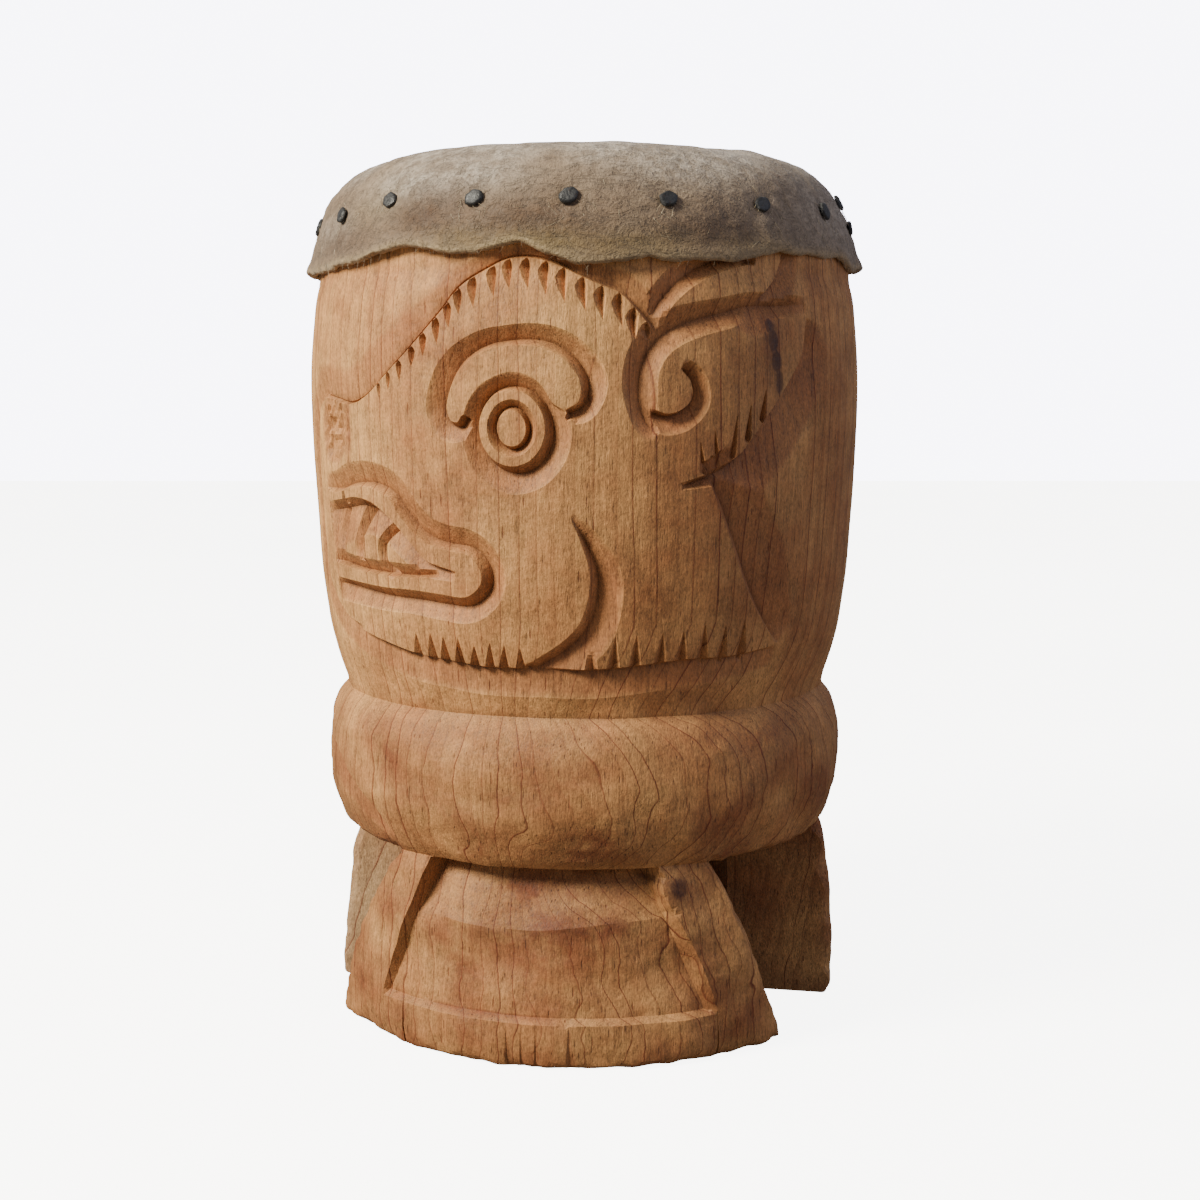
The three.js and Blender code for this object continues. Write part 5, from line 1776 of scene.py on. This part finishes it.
@dataclass
class ForgedNails:
    """Hand-made nails: uneven hammered heads on tapering square shanks."""

    head_radius: float = 4.7
    head_rise: float = 2.3
    shank: float = 2.6
    shank_length: float = 20.0
    sides: int = 18
    hide: HideCover = field(default_factory=HideCover)

    def section(self) -> tuple[Array, Array, Array]:
        """The nail's half section from the middle of its head down to its point.

        Returns:
            Radii, heights above the hide, and how round each ring is, from 0, the head's outline,
            to 1, the shank's square.
        """
        r, h, half = self.head_radius, self.head_rise, self.shank / 2
        radii = np.array([0.32, 0.60, 0.78, 0.93, 1.0, 0.97, 0.80]) * r
        heights = np.array([1.0, 0.98, 0.93, 0.75, 0.42, 0.12, 0.02]) * h
        radii = np.concatenate([radii, np.array([1.0, 0.9, 0.45]) * half * 1.2])
        heights = np.concatenate([heights + 0.1, [-0.2, -0.6 * self.shank_length, -self.shank_length]])
        square = np.array([0, 0, 0, 0, 0, 0, 0, 1, 1, 1.0])
        return radii, heights, square

    def build(self, finish: IronFinish) -> list[Object]:
        """Every nail as its own piece."""
        material = finish.build()
        places = enumerate(zip(*self.hide.seats.places()))
        return [self.nail(i, float(angle), float(height), material) for i, (angle, height) in places]

    def nail(self, index: int, angle: float, height: float, material: Material) -> Object:
        """One nail, standing square to the hide.

        A ring's radius is the section's times its outline. The head's outline is a many-sided blunt
        shape, drawn out one way and dented, and the shank's is a square.

        Args:
            index: which nail, counted from 0.
            angle: its place round the drum in radians.
            height: its height.
            material: the iron.

        Returns:
            The finished piece.
        """
        rng = np.random.default_rng(100 + index)
        radii, heights, square = self.section()
        around = np.linspace(0, 2 * np.pi, self.sides, endpoint=False)
        part = 2 * np.pi / rng.integers(5, 8)
        facet = np.cos(part / 2) / np.cos((around + rng.uniform(0, 6)) % part - part / 2)
        long_way = rng.uniform(0, np.pi)
        outline = facet ** 0.7 * (1 + 0.11 * np.cos(2 * (around - long_way)))
        outline *= 1 + rng.uniform(-0.03, 0.03, self.sides)
        squared = 1 / np.maximum(np.abs(np.cos(around)), np.abs(np.sin(around)))
        shape = radii[:, None] * (outline * (1 - square[:, None]) + squared * square[:, None])
        x, y = shape * np.cos(around), shape * np.sin(around)
        tilt = rng.normal(0, 0.05, 2)
        top = (1 - square)[:, None]
        z = heights[:, None] + top * (tilt[0] * x + tilt[1] * y) + top * rng.normal(0, 0.07, x.shape)
        ends = [(0, 0, heights[0] + 0.05), (0, 0, heights[-1] - 1.2)]
        points = np.vstack([np.stack([x, y, z], axis=-1).reshape(-1, 3), ends])
        data = MeshData(points=self.stand(points, angle, height), faces=ringed_faces(*x.shape))
        made = data.to_object(f"forged_nail_{index + 1:02d}", 34.0)
        dress(made, material, f"nail_{index + 1:02d}")
        return made

    def stand(self, points: Array, angle: float, height: float) -> Array:
        """Turns points about a nail's own axis to its place on the hide, sunk into the dent there."""
        above, below = self.hide.radius(np.array([height + 3.0, height - 3.0]))
        lean = np.arctan2(below - above, 6.0)
        out = np.array([np.sin(angle) * np.cos(lean), -np.cos(angle) * np.cos(lean), np.sin(lean)])
        side = np.array([np.cos(angle), np.sin(angle), 0.0])
        up = np.cross(out, side)
        radius = float(self.hide.radius(np.array([height]))[0]) - 0.7
        seat = np.array([radius * np.sin(angle), -radius * np.cos(angle), height])
        return seat + points[:, :1] * side + points[:, 1:2] * up + points[:, 2:] * out


@dataclass
class HideHairs:
    """Short stiff hairs left on the hide near the nails and along the edge."""

    count: int = 620
    steps: int = 5
    thickness: float = 0.11
    highest: float = 448.0
    hide: HideCover = field(default_factory=HideCover)

    def build(self, finish: HairFinish) -> Object:
        """All the hairs in one mesh of thin three-sided tubes.

        Each hair starts on the hide and leans down along it, lifting off by the square of its length.
        Nearly half of them gather round the nails, and the rest lie near the edge.

        Args:
            finish: the hairs' finish.

        Returns:
            The finished piece.
        """
        rng = np.random.default_rng(55)
        each = (self.count, 1)
        angles, heights = self.hide.seats.places()
        near = rng.integers(0, len(angles), each)
        by_nail = rng.random(each) < 0.45
        angle = np.where(by_nail, angles[near] + rng.normal(0, 0.045, each), rng.uniform(-np.pi, np.pi, each))
        edge = self.hide.edge_height(angle)
        low = edge + rng.exponential(5.0, each) + 0.6
        height = np.where(by_nail, heights[near] + rng.normal(-1, 6.0, each), low)
        height = np.clip(height, edge + 0.5, self.highest)
        step = rng.uniform(3.0, 8.5, each) / self.steps
        way = rng.normal(-np.pi / 2, 0.9, each)
        lift = rng.uniform(0.25, 1.5, each)
        t = np.linspace(0, 1, self.steps + 1)
        heading = way + rng.normal(0, 0.5, each) * t
        across, up = (np.cumsum(part, axis=1) * step for part in (np.cos(heading), np.sin(heading)))
        z = height + up
        r = np.minimum(self.hide.radius(z) + lift * t ** 2, self.hide.radius(height) + 2.0) + 0.2
        spine = on_log((angle + across / NAIL_RADIUS) * ARC_RADIUS, r, z)
        taper = self.thickness * (1 - 0.75 * t)[..., None]
        out = spine * np.array([1.0, 1.0, 0.0])
        out /= np.linalg.norm(out, axis=2, keepdims=True)
        side = np.cross(np.gradient(spine, axis=1), out)
        side /= np.linalg.norm(side, axis=2, keepdims=True) + 1e-9
        turns = np.array([0, 2, 4]) * np.pi / 3
        corners = np.stack([spine + taper * (np.cos(a) * out + np.sin(a) * side) for a in turns], axis=2)
        data = MeshData(points=corners.reshape(-1, 3), faces=self.tube_faces())
        made = data.to_object("hide_hairs", 180.0)
        dress(made, finish.build())
        return made

    def tube_faces(self) -> Array:
        """Triangles of every hair: three sides a step and a cap at each end."""
        base = (np.arange(self.count) * (self.steps + 1) * 3)[:, None, None]
        ring = (np.arange(self.steps) * 3)[None, :, None] + base
        k = np.arange(3)[None, None, :]
        a, b = ring + k, ring + (k + 1) % 3
        sides = [np.stack([a, b, b + 3], -1), np.stack([a, b + 3, a + 3], -1)]
        start = base[:, 0, 0]
        end = start + self.steps * 3
        caps = [np.stack([start, start + 2, start + 1], -1), np.stack([end, end + 1, end + 2], -1)]
        return np.concatenate([s.reshape(-1, 3) for s in sides] + caps)


@dataclass
class Studio:
    """A pale floor, soft lights and the camera."""

    camera_place: Triple = (0.0, -0.9539, 0.3329)
    camera_pitch: float = 83.255
    lens: float = 51.03
    shift: float = 0.0129
    aim: Triple = (0.0, 0.0, 0.25)
    floor_reach: float = 6.0

    def camera(self) -> None:
        """The camera, a little above the middle of the drum and tipped down."""
        data = bpy.data.cameras.new("view")
        data.lens, data.sensor_width, data.shift_x = self.lens, 36.0, self.shift
        made = linked("view", data)
        made.location = self.camera_place
        made.rotation_euler = (np.radians(self.camera_pitch), 0.0, 0.0)
        bpy.context.scene.camera = made

    def floor(self) -> None:
        """A wide pale floor, brighter to the camera than to the light that it sends back."""
        mesh = bpy.data.meshes.new("floor")
        s = self.floor_reach
        mesh.from_pydata([(-s, -s, 0), (s, -s, 0), (s, s, 0), (-s, s, 0)], [], [(0, 1, 2, 3)])
        material, nodes, shader = new_material("pale_floor")
        cloud = nodes.noise(nodes.place(), 1.5, 2.0)
        seen = nodes.add("LightPath").outputs["Is Camera Ray"]
        colour = nodes.mix(cloud, linear(236, 235, 232), linear(242, 241, 239))
        colour = nodes.mix(seen, linear(120, 112, 104), colour)
        nodes.feed(shader, {"Base Color": colour, "Emission Color": colour, "Roughness": 0.9,
                            "Emission Strength": nodes.times(seen, 8.0)})
        mesh.materials.append(material)
        linked("floor", mesh)

    def light(self, name: str, place: Triple, power: float, size: float, colour: Triple) -> None:
        """A square soft light that faces the middle of the drum."""
        data = bpy.data.lights.new(name, "AREA")
        data.energy, data.size, data.color = power, size, colour
        made = linked(name, data)
        away = np.array(place) - np.array(self.aim)
        made.location = place
        tip = np.arctan2(np.hypot(away[0], away[1]), away[2])
        made.rotation_euler = (tip, 0.0, np.arctan2(away[0], -away[1]))

    def build(self) -> None:
        """Everything round the drum."""
        self.camera()
        self.floor()
        self.light("key", (-1.72, -1.02, 1.72), 130.0, 0.8, (1.0, 0.94, 0.78))
        self.light("fill", (2.2, -0.7, 1.2), 12.0, 1.6, (0.78, 0.82, 1.0))
        self.light("back", (0.6, 2.2, 1.8), 8.0, 1.4, (0.95, 0.97, 1.0))
        world = bpy.data.worlds.new("soft_sky")
        world.use_nodes = True
        nodes = Nodes(world.node_tree)
        seen = nodes.add("LightPath").outputs["Is Camera Ray"]
        strength = nodes.spread(seen, 0.0, 1.0, 0.26, 9.0, smooth=False)
        sky = nodes.add("Background", {0: (0.90, 0.89, 1.0, 1.0), 1: strength})
        nodes.tree.links.new(sky.outputs[0], nodes.add("OutputWorld").inputs[0])
        bpy.context.scene.world = world


def main() -> None:
    """Builds the studio and every piece of the drum."""
    logging.basicConfig(level=logging.INFO, format="%(name)s: %(message)s")
    Studio().build()
    effects = SharedEffects()
    body = DrumBody().build(WoodFinish(effects))
    hide = HideCover().build(HideFinish(effects))
    hairs = HideHairs().build(HairFinish(effects))
    nails = ForgedNails().build(IronFinish(effects))
    log.info("%d nails in all", len(nails))


if __name__ == "__main__":
    main()
